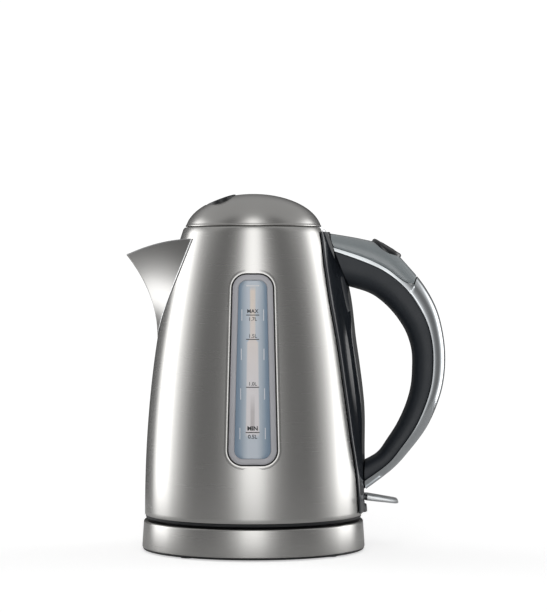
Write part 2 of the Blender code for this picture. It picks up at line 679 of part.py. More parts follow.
def dome_profile(inset, start, steps):
    """Points up the dome from the height start to its crown on the axis."""
    centre = SEAM_Z - LID_SINK
    height = LID_RISE + LID_SINK - inset
    first = math.asin((start - centre) / height)
    points = []
    for i in range(steps):
        angle = first + (math.pi / 2 - first) * i / steps
        z = centre + height * math.sin(angle)
        points.append((dome_radius(z, inset), z))
    return points + [(0.0, centre + height)]


def pad_frame():
    """Centre and axes of the thumb pad: along the slope, across it, and out of the dome."""
    share = PAD_RADIAL / (LID_R + LID_SWELL)
    z = SEAM_Z - LID_SINK + (LID_RISE + LID_SINK) * math.sqrt(1 - share ** 2)
    along = Vector((math.cos(PAD_SLOPE), 0.0, math.sin(PAD_SLOPE)))
    out = Vector((-math.sin(PAD_SLOPE), 0.0, math.cos(PAD_SLOPE)))
    return Vector((-PAD_RADIAL, 0.0, z - PAD_SINK)), along, Vector((0.0, 1.0, 0.0)), out


def pad_ring(grow, height):
    centre, along, across, out = pad_frame()
    ring = []
    for i in range(24):
        turn = 2 * math.pi * i / 24
        ring.append(centre + along * ((PAD_LENGTH / 2 + grow) * math.cos(turn))
                    + across * ((PAD_WIDTH / 2 + grow) * math.sin(turn)) + out * height)
    return ring


def make_lid():
    outside = dome_profile(0.0, SEAM_Z, 6)
    inside = dome_profile(LID_WALL, SEAM_Z, 6)
    shell = revolve("lid_shell", outside + inside[::-1], STEEL)
    cut(shell, loft("cut_pad", [pad_ring(GAP, -8 * MM), pad_ring(GAP, 8 * MM)], BLACK))
    rings = [pad_ring(0.0, -PAD_DEPTH), pad_ring(0.0, -0.7 * MM), pad_ring(-0.7 * MM, 0.0),
             pad_ring(-2.4 * MM, -0.2 * MM), pad_ring(-5.5 * MM, -0.8 * MM)]
    loft("lid_thumb_pad", rings, BLACK)
    plug_r = COLLAR_R - 2 * GAP
    foot = JUG_RIM_Z - PLUG_DEPTH
    groove_r = plug_r - LINER_WALL
    groove_foot, groove_top, top = foot + SEAL_FOOT, foot + SEAL_TOP, SEAM_Z + SEAL_PROUD
    profile = [(0.0, foot), (plug_r - 2 * MM, foot), (plug_r, foot + 1.5 * MM), (plug_r, groove_foot),
               (groove_r, groove_foot), (groove_r, groove_top), (plug_r, groove_top), (plug_r, top),
               (groove_r, top), (groove_r - LINER_WALL, foot + LINER_WALL), (0.0, foot + LINER_WALL)]
    revolve("lid_liner", profile, BLACK)
    seal_r = plug_r + SEAL_PROUD
    low, high = groove_foot + GAP, groove_top - GAP
    revolve("lid_seal", [(groove_r + GAP, low), (seal_r, low + 0.5 * MM), (seal_r, high - 0.5 * MM),
                         (groove_r + GAP, high)], SEAL)


def make_collar():
    """The plastic collar that lines the jug's mouth."""
    top = JUG_RIM_Z - 0.6 * MM - GAP
    foot = JUG_RIM_Z - COLLAR_DEPTH
    outer_foot = wall_radius(foot) - JUG_WALL - GAP
    outer_top = JUG_RIM_R - JUG_WALL - 3 * GAP
    profile = [(COLLAR_R, foot), (outer_foot, foot), (outer_top, top), (COLLAR_R, top)]
    cut(revolve("mouth_collar", profile, BLACK), hinge_notch("cut_hinge_collar", outer_foot + MM))


def make_lid_hinge():
    """Bracket and pin on the jug, and the two-armed bracket on the lid."""
    half = HINGE_HALF
    foot = HINGE_Z - BRACKET_DROP
    left, right = HINGE_X - BRACKET_HALF, HINGE_X + BRACKET_HALF
    bracket = box("hinge_bracket", (left, -half, foot), (right, half, foot + BRACKET_HALF), BRIGHT)
    crown = arc_points((HINGE_X, HINGE_Z), BRACKET_HALF, 0, 180, 8)
    lug = [(left, foot), (right, foot)] + crown
    for side in (-1, 1):
        edges = sorted((side * (ARM_OUT + GAP), side * half))
        join(bracket, prism(f"join_lug_{side + 2}", lug, "Y", edges[0], edges[1], BRIGHT))
    axis = ((HINGE_X, -half - MM, HINGE_Z), (HINGE_X, half + MM, HINGE_Z))
    cut(bracket, rod("cut_bracket_pin", axis[0], axis[1], PIN_R + GAP, BLACK))
    rod("hinge_pin", (HINGE_X, -half, HINGE_Z), (HINGE_X, half, HINGE_Z), PIN_R, BRIGHT)

    cross_in = COLLAR_R - ARM_LEAD
    cross_out = cross_in + ARM_WALL
    arm_top = SEAM_Z - GAP
    arm = box("lid_hinge_arm", (cross_in, -ARM_OUT, HINGE_Z - MM), (cross_out, ARM_OUT, arm_top), BRIGHT)
    catch_foot = HINGE_Z - CATCH_DROP
    join(arm, box("join_catch", (cross_in, -CATCH_HALF, catch_foot), (cross_out, CATCH_HALF, arm_top)))
    root = cross_in + ARM_WALL / 3
    outline = [(root, HINGE_Z + 0.6 * MM)] + arc_points((HINGE_X, HINGE_Z), KNUCKLE_R, 200, 450, 12)
    outline += [(HINGE_X - 0.5 * MM, arm_top - 0.3 * MM), (root, arm_top - 0.3 * MM)]
    for side in (-1, 1):
        edges = sorted((side * ARM_IN, side * ARM_OUT))
        join(arm, prism(f"join_arm_{side + 2}", outline, "Y", edges[0], edges[1], BRIGHT))
    cut(arm, rod("cut_arm_pin", axis[0], axis[1], PIN_R + GAP, BLACK))
    move_origin(arm, (HINGE_X, 0.0, HINGE_Z))
    make_coil("lid_spring", (HINGE_X, -5 * MM, HINGE_Z), (HINGE_X, 5 * MM, HINGE_Z),
              PIN_R + GAP + 0.3 * MM, 0.28 * MM, 4)


def make_coil(name, start, end, radius, wire, turns):
    """A round coil spring between two points."""
    start, end = Vector(start), Vector(end)
    along = end - start
    basis = along.to_track_quat("Z", "Y").to_matrix()
    steps = turns * 9
    rings = []
    for i in range(steps + 1):
        turn = 2 * math.pi * turns * i / steps
        outward = basis @ Vector((math.cos(turn), math.sin(turn), 0.0))
        centre = start + along * (i / steps) + outward * radius
        lift = along.normalized()
        rings.append([centre + outward * (wire * math.cos(a)) + lift * (wire * math.sin(a))
                      for a in [2 * math.pi * k / 4 for k in range(4)]])
    return loft(name, rings, BRIGHT)


# ---- Handle ----------------------------------------------------------------------------
def spine_half(z):
    """Half the width of the spine, measured around the wall."""
    share = (z - SPINE_FOOT_Z) / (SPINE_TOP_Z - SPINE_FOOT_Z)
    return smooth_value(share, [(0.0, 22.5 * MM), (0.12, 26.5 * MM), (0.3, 35.0 * MM), (0.5, 38.0 * MM),
                                (0.72, 37.0 * MM), (0.88, 30.5 * MM), (1.0, 19.5 * MM)])


def spine_ridge(z):
    """How far the middle of the spine stands out of the wall."""
    share = (z - SPINE_FOOT_Z) / (SPINE_TOP_Z - SPINE_FOOT_Z)
    return smooth_value(share, [(0.0, 3.8 * MM), (0.06, 2.8 * MM), (0.18, 2.8 * MM), (0.4, 4.9 * MM),
                                (0.6, 4.6 * MM), (0.8, 6.6 * MM), (1.0, 3.7 * MM)])


def spine_section(z):
    """The spine's outline at a height: a thin flange each side of a raised ridge."""
    radius = wall_radius(z)
    ridge = spine_ridge(z)
    half = spine_half(z) / radius
    shape = [(-1.0, 1.0), (-0.96, 1.5), (-0.60, 2.1), (-0.50, 3.4)]
    crest = [(share, ridge - 0.5 * MM * (share / 0.4) ** 2) for share in (-0.4, -0.2, 0.0, 0.2, 0.4)]
    left = [(share, min(rise * MM, ridge - 0.6 * MM)) for share, rise in shape]
    right = [(-share, rise) for share, rise in reversed(left)]
    ring = []
    back = [(1.0 - 2.0 * k / 6, 2 * GAP) for k in range(7)]
    for share, rise in left + crest + right + back:
        reach = radius + rise
        ring.append((reach * math.cos(half * share), reach * math.sin(half * share), z))
    return ring


def make_spine():
    heights = wall_heights(SPINE_FOOT_Z, SPINE_TOP_Z, 13)
    spine = loft("handle_spine", [spine_section(z) for z in heights], GLOSS)
    cut(spine, hinge_notch("cut_hinge_spine"))
    cut(spine, lever_tool("cut_lever_spine", 0.6 * MM))
    cut(spine, latch_bar("cut_latch_spine", latch_path(), LATCH_ROOM))


def handle_stations():
    """Stations around the loop: inner edge, outer edge, half width, grip share, cover share.

    Each edge is a height share of the loop and an offset from the jug's wall as a share of
    the reach. The grip runs from the inner edge to the grip share of the thickness, and the
    cover, where there is one, from the cover share to the outer edge.
    """
    return [(0.797, 0.015, 1.002, 0.000, 18.5, 0.655, 0.735),
            (0.767, 0.277, 0.977, 0.373, 17.0, 0.560, 0.650),
            (0.733, 0.410, 0.945, 0.628, 15.8, 0.530, 0.605),
            (0.682, 0.521, 0.862, 0.797, 15.0, 0.585, 0.690),
            (0.625, 0.599, 0.784, 0.913, 14.6, 0.580, 1.000),
            (0.577, 0.633, 0.696, 0.986, 14.4, 0.592, 1.000),
            (0.530, 0.643, 0.598, 1.006, 14.2, 0.598, 1.000),
            (0.474, 0.627, 0.508, 0.991, 14.0, 0.594, 1.000),
            (0.400, 0.590, 0.413, 0.940, 14.0, 0.590, 1.000),
            (0.328, 0.520, 0.326, 0.852, 14.0, 0.585, 1.000),
            (0.252, 0.412, 0.234, 0.718, 14.0, 0.590, 1.000),
            (0.187, 0.290, 0.148, 0.535, 14.2, 0.600, 1.000),
            (0.134, 0.176, 0.068, 0.328, 14.6, 0.615, 1.000),
            (0.098, 0.000, -0.022, 0.000, 15.0, 0.630, 1.000)]


def station(place):
    """Read the stations' values along a smooth curve, at a place between 0 and the last station."""
    table = handle_stations()
    i = min(int(place), len(table) - 2)
    t = place - i
    before = table[max(i - 1, 0)]
    after = table[min(i + 2, len(table) - 1)]
    row = []
    for p0, p1, p2, p3 in zip(before, table[i], table[i + 1], after):
        row.append(0.5 * (2 * p1 + (p2 - p0) * t + (2 * p0 - 5 * p1 + 4 * p2 - p3) * t * t
                          + (3 * p1 - p0 - 3 * p2 + p3) * t ** 3))
    return row


def places(start, end, step):
    """Places along the loop from start to end, about a step apart."""
    count = max(1, round((end - start) / step))
    return [start + (end - start) * i / count for i in range(count + 1)]


def station_frame(row):
    """Inner point, outward direction, thickness and half width of one station."""
    span = HANDLE_TOP_Z - HANDLE_FOOT_Z
    z_in, z_out = HANDLE_FOOT_Z + row[0] * span, HANDLE_FOOT_Z + row[2] * span
    inner = Vector((wall_radius(z_in) + row[1] * HANDLE_REACH, 0.0, z_in))
    outer = Vector((wall_radius(z_out) + row[3] * HANDLE_REACH, 0.0, z_out))
    across = outer - inner
    return inner, across.normalized(), across.length, row[4] * MM


def handle_section(row, start, end, inset=0.0):
    """One rounded cross-section between two shares of the thickness."""
    inner, across, depth, half = station_frame(row)
    first = math.acos(1 - 2 * max(start, 0.006))
    last = math.acos(1 - 2 * min(end, 0.994))
    width = half - inset
    side = []
    for k in range(7):
        angle = first + (last - first) * k / 6
        share = (1 - math.cos(angle)) / 2
        out = width * (1 - abs(math.cos(angle)) ** 2.6) ** (1 / 2.6)
        side.append((share * depth, out))
    ring = [inner + across * a + Vector((0.0, b, 0.0)) for a, b in side]
    ring += [inner + across * a + Vector((0.0, -b, 0.0)) for a, b in reversed(side)]
    return ring


def handle_piece(name, spots, start, end, material):
    """Loft a layer of the handle between two shares that are functions of the row."""
    rings = [handle_section(row, start(row), end(row)) for row in map(station, spots)]
    return loft(name, rings, material)


def handle_hollow(name, spots, start):
    """The space inside a layer that leaves a skin of HANDLE_SKIN, open towards the grip."""
    rings = [handle_section(row, start(row) - 0.1, 1.0 - HANDLE_SKIN / station_frame(row)[2], HANDLE_SKIN)
             for row in map(station, spots)]
    return loft(name, rings, BLACK)


def share_gap(row):
    """The clearance GAP as a share of a station's thickness."""
    return GAP / station_frame(row)[2]


def spine_clearance():
    """A band that keeps the loop's ends off the spine."""
    heights = wall_heights(SPINE_FOOT_Z - MM, SPINE_TOP_Z + 3 * MM, 22)
    rings = []
    for z in heights:
        level = min(max(z, SPINE_FOOT_Z), SPINE_TOP_Z)
        radius = wall_radius(level)
        turns = [math.radians(a) for a in range(-40, 41, 5)]
        near = [(radius * 0.8 * math.cos(a), radius * 0.8 * math.sin(a), z) for a in turns]
        face = radius + spine_ridge(level) + GAP
        far = [(face * math.cos(a), face * math.sin(a), z) for a in turns]
        rings.append(near + far[::-1])
    return loft("clear_spine", rings, BLACK)


def make_handle():
    end = len(handle_stations()) - 1.0
    spine_face = spine_clearance()
    spots = places(0.0, end, 0.5)
    grip = handle_piece("handle_grip", spots, lambda r: 0.0, lambda r: r[5] - share_gap(r), GRIP)
    cut(grip, spine_face)

    strip = [handle_section(row, row[5], row[6] - share_gap(row))
             for row in map(station, places(0.0, COVER_END - COVER_STEP, 0.5))]
    outer = [handle_section(row, row[5], 1.0) for row in map(station, places(COVER_END, end, 0.5))]
    shell = loft("handle_outer_shell", strip + outer, SATIN)
    cut(shell, spine_face)
    cut(shell, handle_hollow("cut_shell_hollow", places(COVER_END + 0.25, end - 0.8, 0.4), lambda r: r[5]))

    cover_end = COVER_END - 2 * COVER_STEP
    spots = places(0.0, cover_end, 0.45)
    cover = handle_piece("handle_top_cover", spots, lambda r: r[6], lambda r: 1.0, SMOKE)
    cut(cover, spine_face)
    cut(cover, handle_hollow("cut_cover_hollow", places(0.12, cover_end - 0.2, 0.28), lambda r: r[6]))
    cut(cover, loft("cut_button", [button_ring(GAP, -BUTTON_SHAFT), button_ring(GAP, BUTTON_SHAFT)], BLACK))


# ---- Release button and latch ----------------------------------------------------------
def outer_point(place):
    """A point on the outer edge of the loop."""
    inner, across, depth, _ = station_frame(station(place))
    return inner + across * depth


def button_frame():
    """Centre of the button's seat on the cover, the slope direction and the way out."""
    along = (outer_point(BUTTON_PLACE + 0.5) - outer_point(BUTTON_PLACE - 0.5)).normalized()
    out = Vector((-along.z, 0.0, along.x))
    return outer_point(BUTTON_PLACE), along, out


def button_ring(grow, height, droop=0.0):
    """An oval around the button's axis; its ends droop to follow the cover's curve."""
    centre, along, out = button_frame()
    length = BUTTON_LENGTH / 2 + grow
    ring = []
    for i in range(SMALL_ROUND):
        turn = 2 * math.pi * i / SMALL_ROUND
        run = length * math.cos(turn)
        side = (BUTTON_WIDTH / 2 + grow) * math.sin(turn)
        fall = droop * (run / (BUTTON_LENGTH / 2)) ** 2
        ring.append(centre + along * run + Vector((0.0, side, 0.0)) + out * (height - fall))
    return ring


def make_button():
    """The button: a hollow underside, an edge that rounds over, and a dished top."""
    low = BUTTON_PROUD - BUTTON_DEPTH
    rings = [button_ring(-3.0 * MM, low + 2.0 * MM), button_ring(-2.6 * MM, low), button_ring(0.0, low)]
    for inset, fall in ((0.0, 0.9), (0.9, 0.1), (2.0, 0.1), (4.4, 0.5)):
        rings.append(button_ring(-inset * MM, BUTTON_PROUD - fall * MM, BUTTON_DROOP))
    button = loft("release_button", rings, BLACK)
    centre, _, out = button_frame()
    move_origin(button, centre)
    seat = centre + out * (low - BUTTON_TRAVEL - 1.2 * MM)
    make_coil("button_spring", seat, seat + out * 3.0 * MM, 2.2 * MM, 0.3 * MM, 3)


def latch_path():
    """Centre line of the latch slider, from its nose to its end below the button."""
    level = HINGE_Z - LATCH_DROP
    centre, along, out = button_frame()
    end = centre - along * (BUTTON_LENGTH / 2 + LATCH_SHORT) - out * LATCH_UNDER
    nose = COLLAR_R - ARM_LEAD + ARM_WALL + LATCH_CLEAR
    return [Vector((nose, 0.0, level)), Vector((HINGE_X + 8 * MM, 0.0, level)), end]


def latch_bar(name, path, grow):
    """A flat bar along the latch's centre line, grown on every side."""
    half, thick = LATCH_HALF + grow, LATCH_THICK / 2 + grow
    points = list(path)
    points[0] = points[0] - Vector((grow, 0.0, 0.0))
    points[-1] = points[-1] + (points[-1] - points[-2]).normalized() * grow
    rings = []
    for i, point in enumerate(points):
        ahead = points[min(i + 1, len(points) - 1)] - points[max(i - 1, 0)]
        up = Vector((-ahead.z, 0.0, ahead.x)).normalized()
        rings.append([point + Vector((0.0, half * sy, 0.0)) + up * (thick * sz)
                      for sy, sz in ((-1, -1), (1, -1), (1, 1), (-1, 1))])
    return loft(name, rings, BRIGHT)


# ---- Switch ----------------------------------------------------------------------------
def lever_pivot():
    return Vector((wall_radius(LEVER_Z) - 1.5 * MM, 0.0, LEVER_Z - 0.5 * MM))


def lever_tool(name, grow):
    """The slot through the wall and the spine that the switch paddle swings in."""
    pivot = lever_pivot()
    half = LEVER_WIDTH / 2 + grow
    low, high = pivot.z - LEVER_ROOT - 2.0 * MM, pivot.z + LEVER_ROOT + 1.6 * MM
    return box(name, (pivot.x - 8 * MM, -half, low), (pivot.x + 12 * MM, half, high))


def make_lever():
    pivot = lever_pivot()
    slope = Vector((math.cos(LEVER_DROOP), 0.0, -math.sin(LEVER_DROOP)))
    up = Vector((math.sin(LEVER_DROOP), 0.0, math.cos(LEVER_DROOP)))
    tip = LEVER_TIP / LEVER_ROOT
    stations = [(-3.5 * MM, 0.5, 0.4), (0.0, 0.5, 1.0), (2 * MM, 0.5, 1.0), (5 * MM, 0.94, 1.0),
                (12 * MM, 0.98, 0.9), (20 * MM, 0.98, 0.75), (LEVER_REACH - 1.5 * MM, 0.94, tip),
                (LEVER_REACH, 0.86, 0.3)]
    rings = []
    for run, width, thick in stations:
        half, rise = LEVER_WIDTH / 2 * width, LEVER_ROOT / 2 * thick
        outline = [(-0.92, -1), (0.92, -1), (1, -0.6), (1, 0.6), (0.92, 1), (-0.92, 1), (-1, 0.6), (-1, -0.6)]
        middle = pivot + slope * run
        rings.append([middle + Vector((0.0, half * a, 0.0)) + up * (rise * b) for a, b in outline])
    lever = loft("switch_lever", rings, SATIN)
    across = Vector((0.0, LEVER_WIDTH, 0.0))
    cut(lever, rod("cut_lever_pin", pivot - across, pivot + across, LEVER_PIN_R + GAP, BLACK, 12))
    move_origin(lever, pivot)
    ends = Vector((0.0, CHEEK_OUT + 0.1 * MM, 0.0))
    rod("lever_pin", pivot - ends, pivot + ends, LEVER_PIN_R, BRIGHT, 12)
    make_lever_bracket(pivot, across)


def make_lever_bracket(pivot, across):
    """The bracket behind the wall: a back plate and a cheek at each end of the pin."""
    front, back = pivot.x + 1.2 * MM, pivot.x - 6.5 * MM
    low, high = pivot.z - 2.5 * MM, pivot.z + 2.5 * MM
    bracket = box("lever_bracket", (back, -CHEEK_OUT, low - 3 * MM), (back + 1.4 * MM, CHEEK_OUT, high))
    for side in (-1, 1):
        edges = sorted((side * CHEEK_IN, side * CHEEK_OUT))
        join(bracket, box(f"join_cheek_{side + 2}", (back, edges[0], low), (front, edges[1], high)))
    cut(bracket, rod("cut_bracket_lever", pivot - across, pivot + across, LEVER_PIN_R + GAP, BLACK, 12))


# ---- Power base ------------------------------------------------------------------------
def make_base():
    """The steel skirt, the black top cover and the underside plate that they close on."""
    skirt_in = BASE_TOP_R - SKIRT_WALL
    edge = BASE_TOP_R - BASE_ROUND
    lip = edge - BASE_LIP
    corner = arc_points((edge, BASE_TOP_Z - BASE_ROUND), BASE_ROUND, 10, 80, 2)
    profile = [(BASE_R, SKIRT_FOOT_Z)] + corner + [(edge - MM, BASE_TOP_Z), (lip, BASE_TOP_Z),
               (lip, BASE_TOP_Z - SKIRT_WALL), (edge - 0.2 * MM, BASE_TOP_Z - SKIRT_WALL),
               (skirt_in, BASE_TOP_Z - 2 * SKIRT_WALL), (BASE_R - SKIRT_WALL, SKIRT_FOOT_Z)]
    ring = revolve("base_trim_ring", profile, STEEL)
    cut(ring, cord_tool("cut_cord_ring"))

    under = BASE_TOP_Z - SKIRT_WALL - GAP
    cover_foot = under - COVER_STEP_H
    cover_r = skirt_in - 4 * GAP
    make_base_cover(cover_r, lip, cover_foot, under)
    make_base_plate(cover_r, cover_foot - GAP)
    make_cord_entry(cover_r)
    make_base_screws()


def make_base_cover(cover_r, lip, foot, under):
    """The top cover: a raised seat ring for the jug and a raised mouth round the connector."""
    bore = WELL_R + GAP
    seat_out = JUG_FOOT_R - SEAT_INSET
    seat_in = seat_out - SEAT_WIDTH
    level = BASE_TOP_Z - 2 * GAP
    profile = [(bore, foot), (cover_r, foot), (cover_r, under), (lip - GAP, under), (lip - GAP, level),
               (seat_out + MM, level), (seat_out, JUG_SEAT_Z), (seat_in, JUG_SEAT_Z), (seat_in - MM, under),
               (bore + 4 * MM, under), (bore + 2 * MM, BASE_TOP_Z), (bore, BASE_TOP_Z)]
    revolve("base_top_cover", profile, BLACK)


def make_base_plate(cup, cup_top):
    """The underside plate: a flat hub, a trough for the wires, a foot rim and a cup wall."""
    z, inside = PLATE_Z, PLATE_Z + PLATE_WALL
    flange = BASE_R - 0.6 * MM
    step = SKIRT_FOOT_Z - GAP
    trough = TROUGH_TOP + PLATE_WALL * 0.7
    profile = [(0.0, z), (TROUGH_IN, z), (TROUGH_IN, TROUGH_TOP), (TROUGH_OUT, TROUGH_TOP), (TROUGH_OUT, z),
               (flange, z), (flange, step), (cup, step), (cup, cup_top), (cup - CUP_WALL, cup_top),
               (cup - CUP_WALL, inside), (TROUGH_OUT + PLATE_WALL, inside), (TROUGH_OUT + PLATE_WALL, trough),
               (TROUGH_IN - PLATE_WALL, trough), (TROUGH_IN - PLATE_WALL, inside), (0.0, inside)]
    plate = revolve("base_underside_plate", profile, BLACK)
    seat = inside - FOOT_SEAT_WALL
    foot_top = seat - GAP
    for number, angle in enumerate(FOOT_ANGLES, 1):
        turn = math.radians(angle)
        x, y = FEET_R * math.cos(turn), FEET_R * math.sin(turn)
        cut(plate, rod(f"cut_foot_{number}", (x, y, -MM), (x, y, seat), FOOT_R + GAP, BLACK))
        revolve(f"rubber_foot_{number}", [(0.0, 0.0), (FOOT_R - 0.4 * MM, 0.0), (FOOT_R, 0.4 * MM),
                                          (FOOT_R, foot_top), (0.0, foot_top)], RUBBER, (x, y), SMALL_ROUND)
    cut(plate, cord_tool("cut_cord_plate"))


def cord_tool(name):
    """The hole through the base's back wall that the bush passes through."""
    start, end = TROUGH_OUT + 10 * MM, BASE_R + 8 * MM
    return rod(name, (0.0, start, CORD_Z), (0.0, end, CORD_Z), CORD_R + BUSH_WALL + GAP, BLACK)


def make_cord_entry(cup):
    """The bush the cord comes through and the clamp that holds it inside."""
    start, end = cup - BUSH_IN, BASE_R + BUSH_PROUD
    bush = rod("cord_bush", (0.0, start, CORD_Z), (0.0, end, CORD_Z), CORD_R + BUSH_WALL, RUBBER)
    cut(bush, rod("cut_bush_bore", (0.0, start - MM, CORD_Z), (0.0, end + MM, CORD_Z), CORD_R, BLACK))
    foot = PLATE_Z + PLATE_WALL + GAP
    near = TROUGH_OUT + PLATE_WALL + MM
    far = near + CLAMP_T
    clamp = box("cord_clamp", (-CLAMP_HALF, near, foot), (CLAMP_HALF, far, CORD_Z + CORD_R + BUSH_WALL))
    cut(clamp, rod("cut_clamp_bore", (0.0, near - MM, CORD_Z), (0.0, far + MM, CORD_Z), CORD_R, BLACK))


def make_base_screws():
    """Screws from below, in the hub, that hold the socket."""
    plate = bpy.data.objects["base_underside_plate"]
    top = PLATE_Z + PLATE_WALL
    low, high = PLATE_Z + 0.4 * MM, top - GAP
    for number, angle in enumerate(BASE_SCREW_ANGLES, 1):
        turn = math.radians(angle)
        x, y = BASE_SCREWS_R * math.cos(turn), BASE_SCREWS_R * math.sin(turn)
        cut(plate, rod(f"cut_base_screw_{number}", (x, y, 0.0), (x, y, top + MM), BASE_SCREW_R + GAP, BLACK))
        revolve(f"base_screw_{number}", [(0.0, low), (BASE_SCREW_R, low), (BASE_SCREW_R, high), (0.0, high)],
                BRIGHT, (x, y), 12)


def make_connector():
    """The socket in the base with its contacts: a centre bore and a ring groove in a spigot."""
    foot = PLATE_Z + PLATE_WALL + GAP
    bore = CONNECTOR_PIN_R + GROOVE_CLEAR
    groove_in, groove_out = CONNECTOR_RING_R - RING_WALL - GROOVE_CLEAR, CONNECTOR_RING_R + GROOVE_CLEAR
    top = SPIGOT_TOP_Z
    deep = foot + SOCKET_FLOOR_T
    flange = foot + SOCKET_FLANGE_T
    well = BASE_TOP_Z - MM
    outside = [(0.0, foot), (SOCKET_FLANGE_R, foot), (SOCKET_FLANGE_R, flange), (WELL_R, flange),
               (WELL_R, well), (SPIGOT_R, well), (SPIGOT_R, top - MM), (SPIGOT_R - MM, top)]
    groove = [(groove_out, top), (groove_out, deep), (groove_in, deep), (groove_in, top)]
    profile = outside + groove + [(bore, top), (bore, deep), (0.0, deep)]
    revolve("connector_socket", profile, BLACK, sides=24)
    low, high = deep + GAP, deep + CONTACT_H
    for name, outer in (("live_contact", bore - GAP), ("neutral_contact", groove_out - GAP)):
        inner = outer - CONTACT_WALL
        revolve(name, [(inner, low), (outer, low), (outer, high), (inner, high)], BRASS, sides=SMALL_ROUND)
    inner = SPIGOT_R + GAP
    outer = inner + EARTH_WALL
    low, high = BASE_TOP_Z + MM, BASE_TOP_Z + EARTH_H
    revolve("earth_contact", [(inner, low), (outer, low), (outer, high), (inner, high)], BRIGHT, sides=24)
    make_plug(deep + PIN_LIFT)


def make_plug(pin_foot):
    """The plug in the jug's foot, with the pin and the ring that enter the socket."""
    under = SPIGOT_TOP_Z + MM
    inside = PLUG_R - PLUG_WALL
    plug_foot = JUG_BOTTOM_Z - MM
    revolve("plug_housing", [(0.0, under), (inside, under), (inside, plug_foot), (PLUG_R, plug_foot),
                             (PLUG_R, PLUG_TOP_Z), (0.0, PLUG_TOP_Z)], BLACK, sides=24)
    root = under - GAP
    revolve("plug_pin", [(0.0, pin_foot), (CONNECTOR_PIN_R * 0.6, pin_foot - MM), (CONNECTOR_PIN_R, pin_foot),
                         (CONNECTOR_PIN_R, root), (0.0, root)], BRASS, sides=12)
    inner = CONNECTOR_RING_R - RING_WALL
    revolve("plug_ring", [(inner, pin_foot), (CONNECTOR_RING_R, pin_foot), (CONNECTOR_RING_R, root),
                          (inner, root)], BRASS, sides=24)


def make_latch():
    """The bar that carries the button's travel to the lid's catch."""
    path = latch_path()
    move_origin(latch_bar("latch_slider", path, 0.0), path[0])


def build():
    clear_scene()
    make_base()
    make_connector()
    make_jug_shell()
    make_jug_floor()
    make_heater()
    make_control_unit()
    make_jug_underside()
    make_window()
    make_spout()
    make_spout_filter()
    make_collar()
    make_lid()
    make_lid_hinge()
    make_spine()
    make_handle()
    make_button()
    make_latch()
    make_lever()


build()
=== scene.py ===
import json
import math

import bmesh
import bpy
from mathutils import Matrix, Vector


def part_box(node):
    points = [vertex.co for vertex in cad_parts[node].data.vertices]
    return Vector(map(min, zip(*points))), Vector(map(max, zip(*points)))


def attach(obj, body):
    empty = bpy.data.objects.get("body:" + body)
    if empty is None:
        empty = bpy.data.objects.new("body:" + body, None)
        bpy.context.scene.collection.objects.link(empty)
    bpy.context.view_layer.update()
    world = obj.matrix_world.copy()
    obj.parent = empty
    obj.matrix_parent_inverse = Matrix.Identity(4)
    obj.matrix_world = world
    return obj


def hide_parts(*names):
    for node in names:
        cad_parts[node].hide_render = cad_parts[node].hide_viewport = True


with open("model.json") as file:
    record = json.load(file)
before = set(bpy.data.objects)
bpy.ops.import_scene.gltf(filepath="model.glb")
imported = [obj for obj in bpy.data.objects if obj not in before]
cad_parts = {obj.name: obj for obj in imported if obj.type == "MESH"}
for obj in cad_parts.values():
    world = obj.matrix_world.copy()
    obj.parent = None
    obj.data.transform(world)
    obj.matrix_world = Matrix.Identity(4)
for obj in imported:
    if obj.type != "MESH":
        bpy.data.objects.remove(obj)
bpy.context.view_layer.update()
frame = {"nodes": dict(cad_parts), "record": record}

MM = 0.001
GAP = 0.3 * MM                  # between neighbouring pieces

# ---- Mesh density ----------------------------------------------------------------------
FINE = 256                      # sides of the large turned pieces
ROD_SIDES = 48
TUBE_SIDES = 10
PAD_SIDES = 96
BUTTON_SIDES = 72
CORNER_STEPS = 14               # in each corner of the window
WINDOW_STEPS = 24               # up each side of the window

# ---- Sizes, the same as the CAD's ------------------------------------------------------
JUG_BOTTOM_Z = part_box("jug_shell")[0][2]
JUG_RIM_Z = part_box("jug_shell")[1][2]
JUG_FOOT_R = 75.9 * MM
JUG_RIM_R = 48.6 * MM
JUG_WALL = 0.8 * MM
JUG_CENTRE_Z = JUG_BOTTOM_Z + 3.0 * MM
JUG_ARC_H = (JUG_RIM_Z - JUG_CENTRE_Z) / math.sqrt(1.0 - (JUG_RIM_R / JUG_FOOT_R) ** 2)
SCREW_RING_R = 52.0 * MM
SEAM_Z = JUG_RIM_Z + 0.5 * MM
LID_SINK = 3.5 * MM
LID_RISE = 23.1 * MM
LID_FULL_R = 47.7 * MM
LID_WALL = 0.8 * MM
PAD_SLOPE = math.radians(20.5)
PAD_RADIAL = 23.0 * MM
PAD_SINK = 0.75 * MM
PAD_LENGTH = 22.4 * MM
PAD_WIDTH = 44.0 * MM           # wider than the CAD's
WINDOW_FOOT_Z = 63.8 * MM
WINDOW_TOP_Z = 193.0 * MM
WINDOW_FOOT_HALF = 17.1 * MM
WINDOW_TOP_HALF = 14.5 * MM
WINDOW_CORNER = 10.5 * MM
PANE_CORE = 8.0 * MM            # from the pane's ends to the line its rings shrink to
SPOUT_FOOT_Z = JUG_RIM_Z - 76.4 * MM
SPOUT_TIP_Z = JUG_RIM_Z - 18.9 * MM
SPOUT_ROOT_Z = JUG_RIM_Z - 8.2 * MM
SPOUT_OUT = 21.66 * MM
SPOUT_HALF = 29.5 * MM
SPOUT_WALL = 0.9 * MM
HANDLE_TOP_Z = JUG_RIM_Z - 3.7 * MM
HANDLE_FOOT_Z = JUG_BOTTOM_Z + 19.0 * MM
HANDLE_REACH = 65.6 * MM
HANDLE_CORNER = 0.5 * MM
SPINE_TOP_Z = JUG_RIM_Z - 3.1 * MM
SPINE_FOOT_Z = JUG_BOTTOM_Z + 2.0 * MM
CHEEK_FOOT_Z = 192.0 * MM
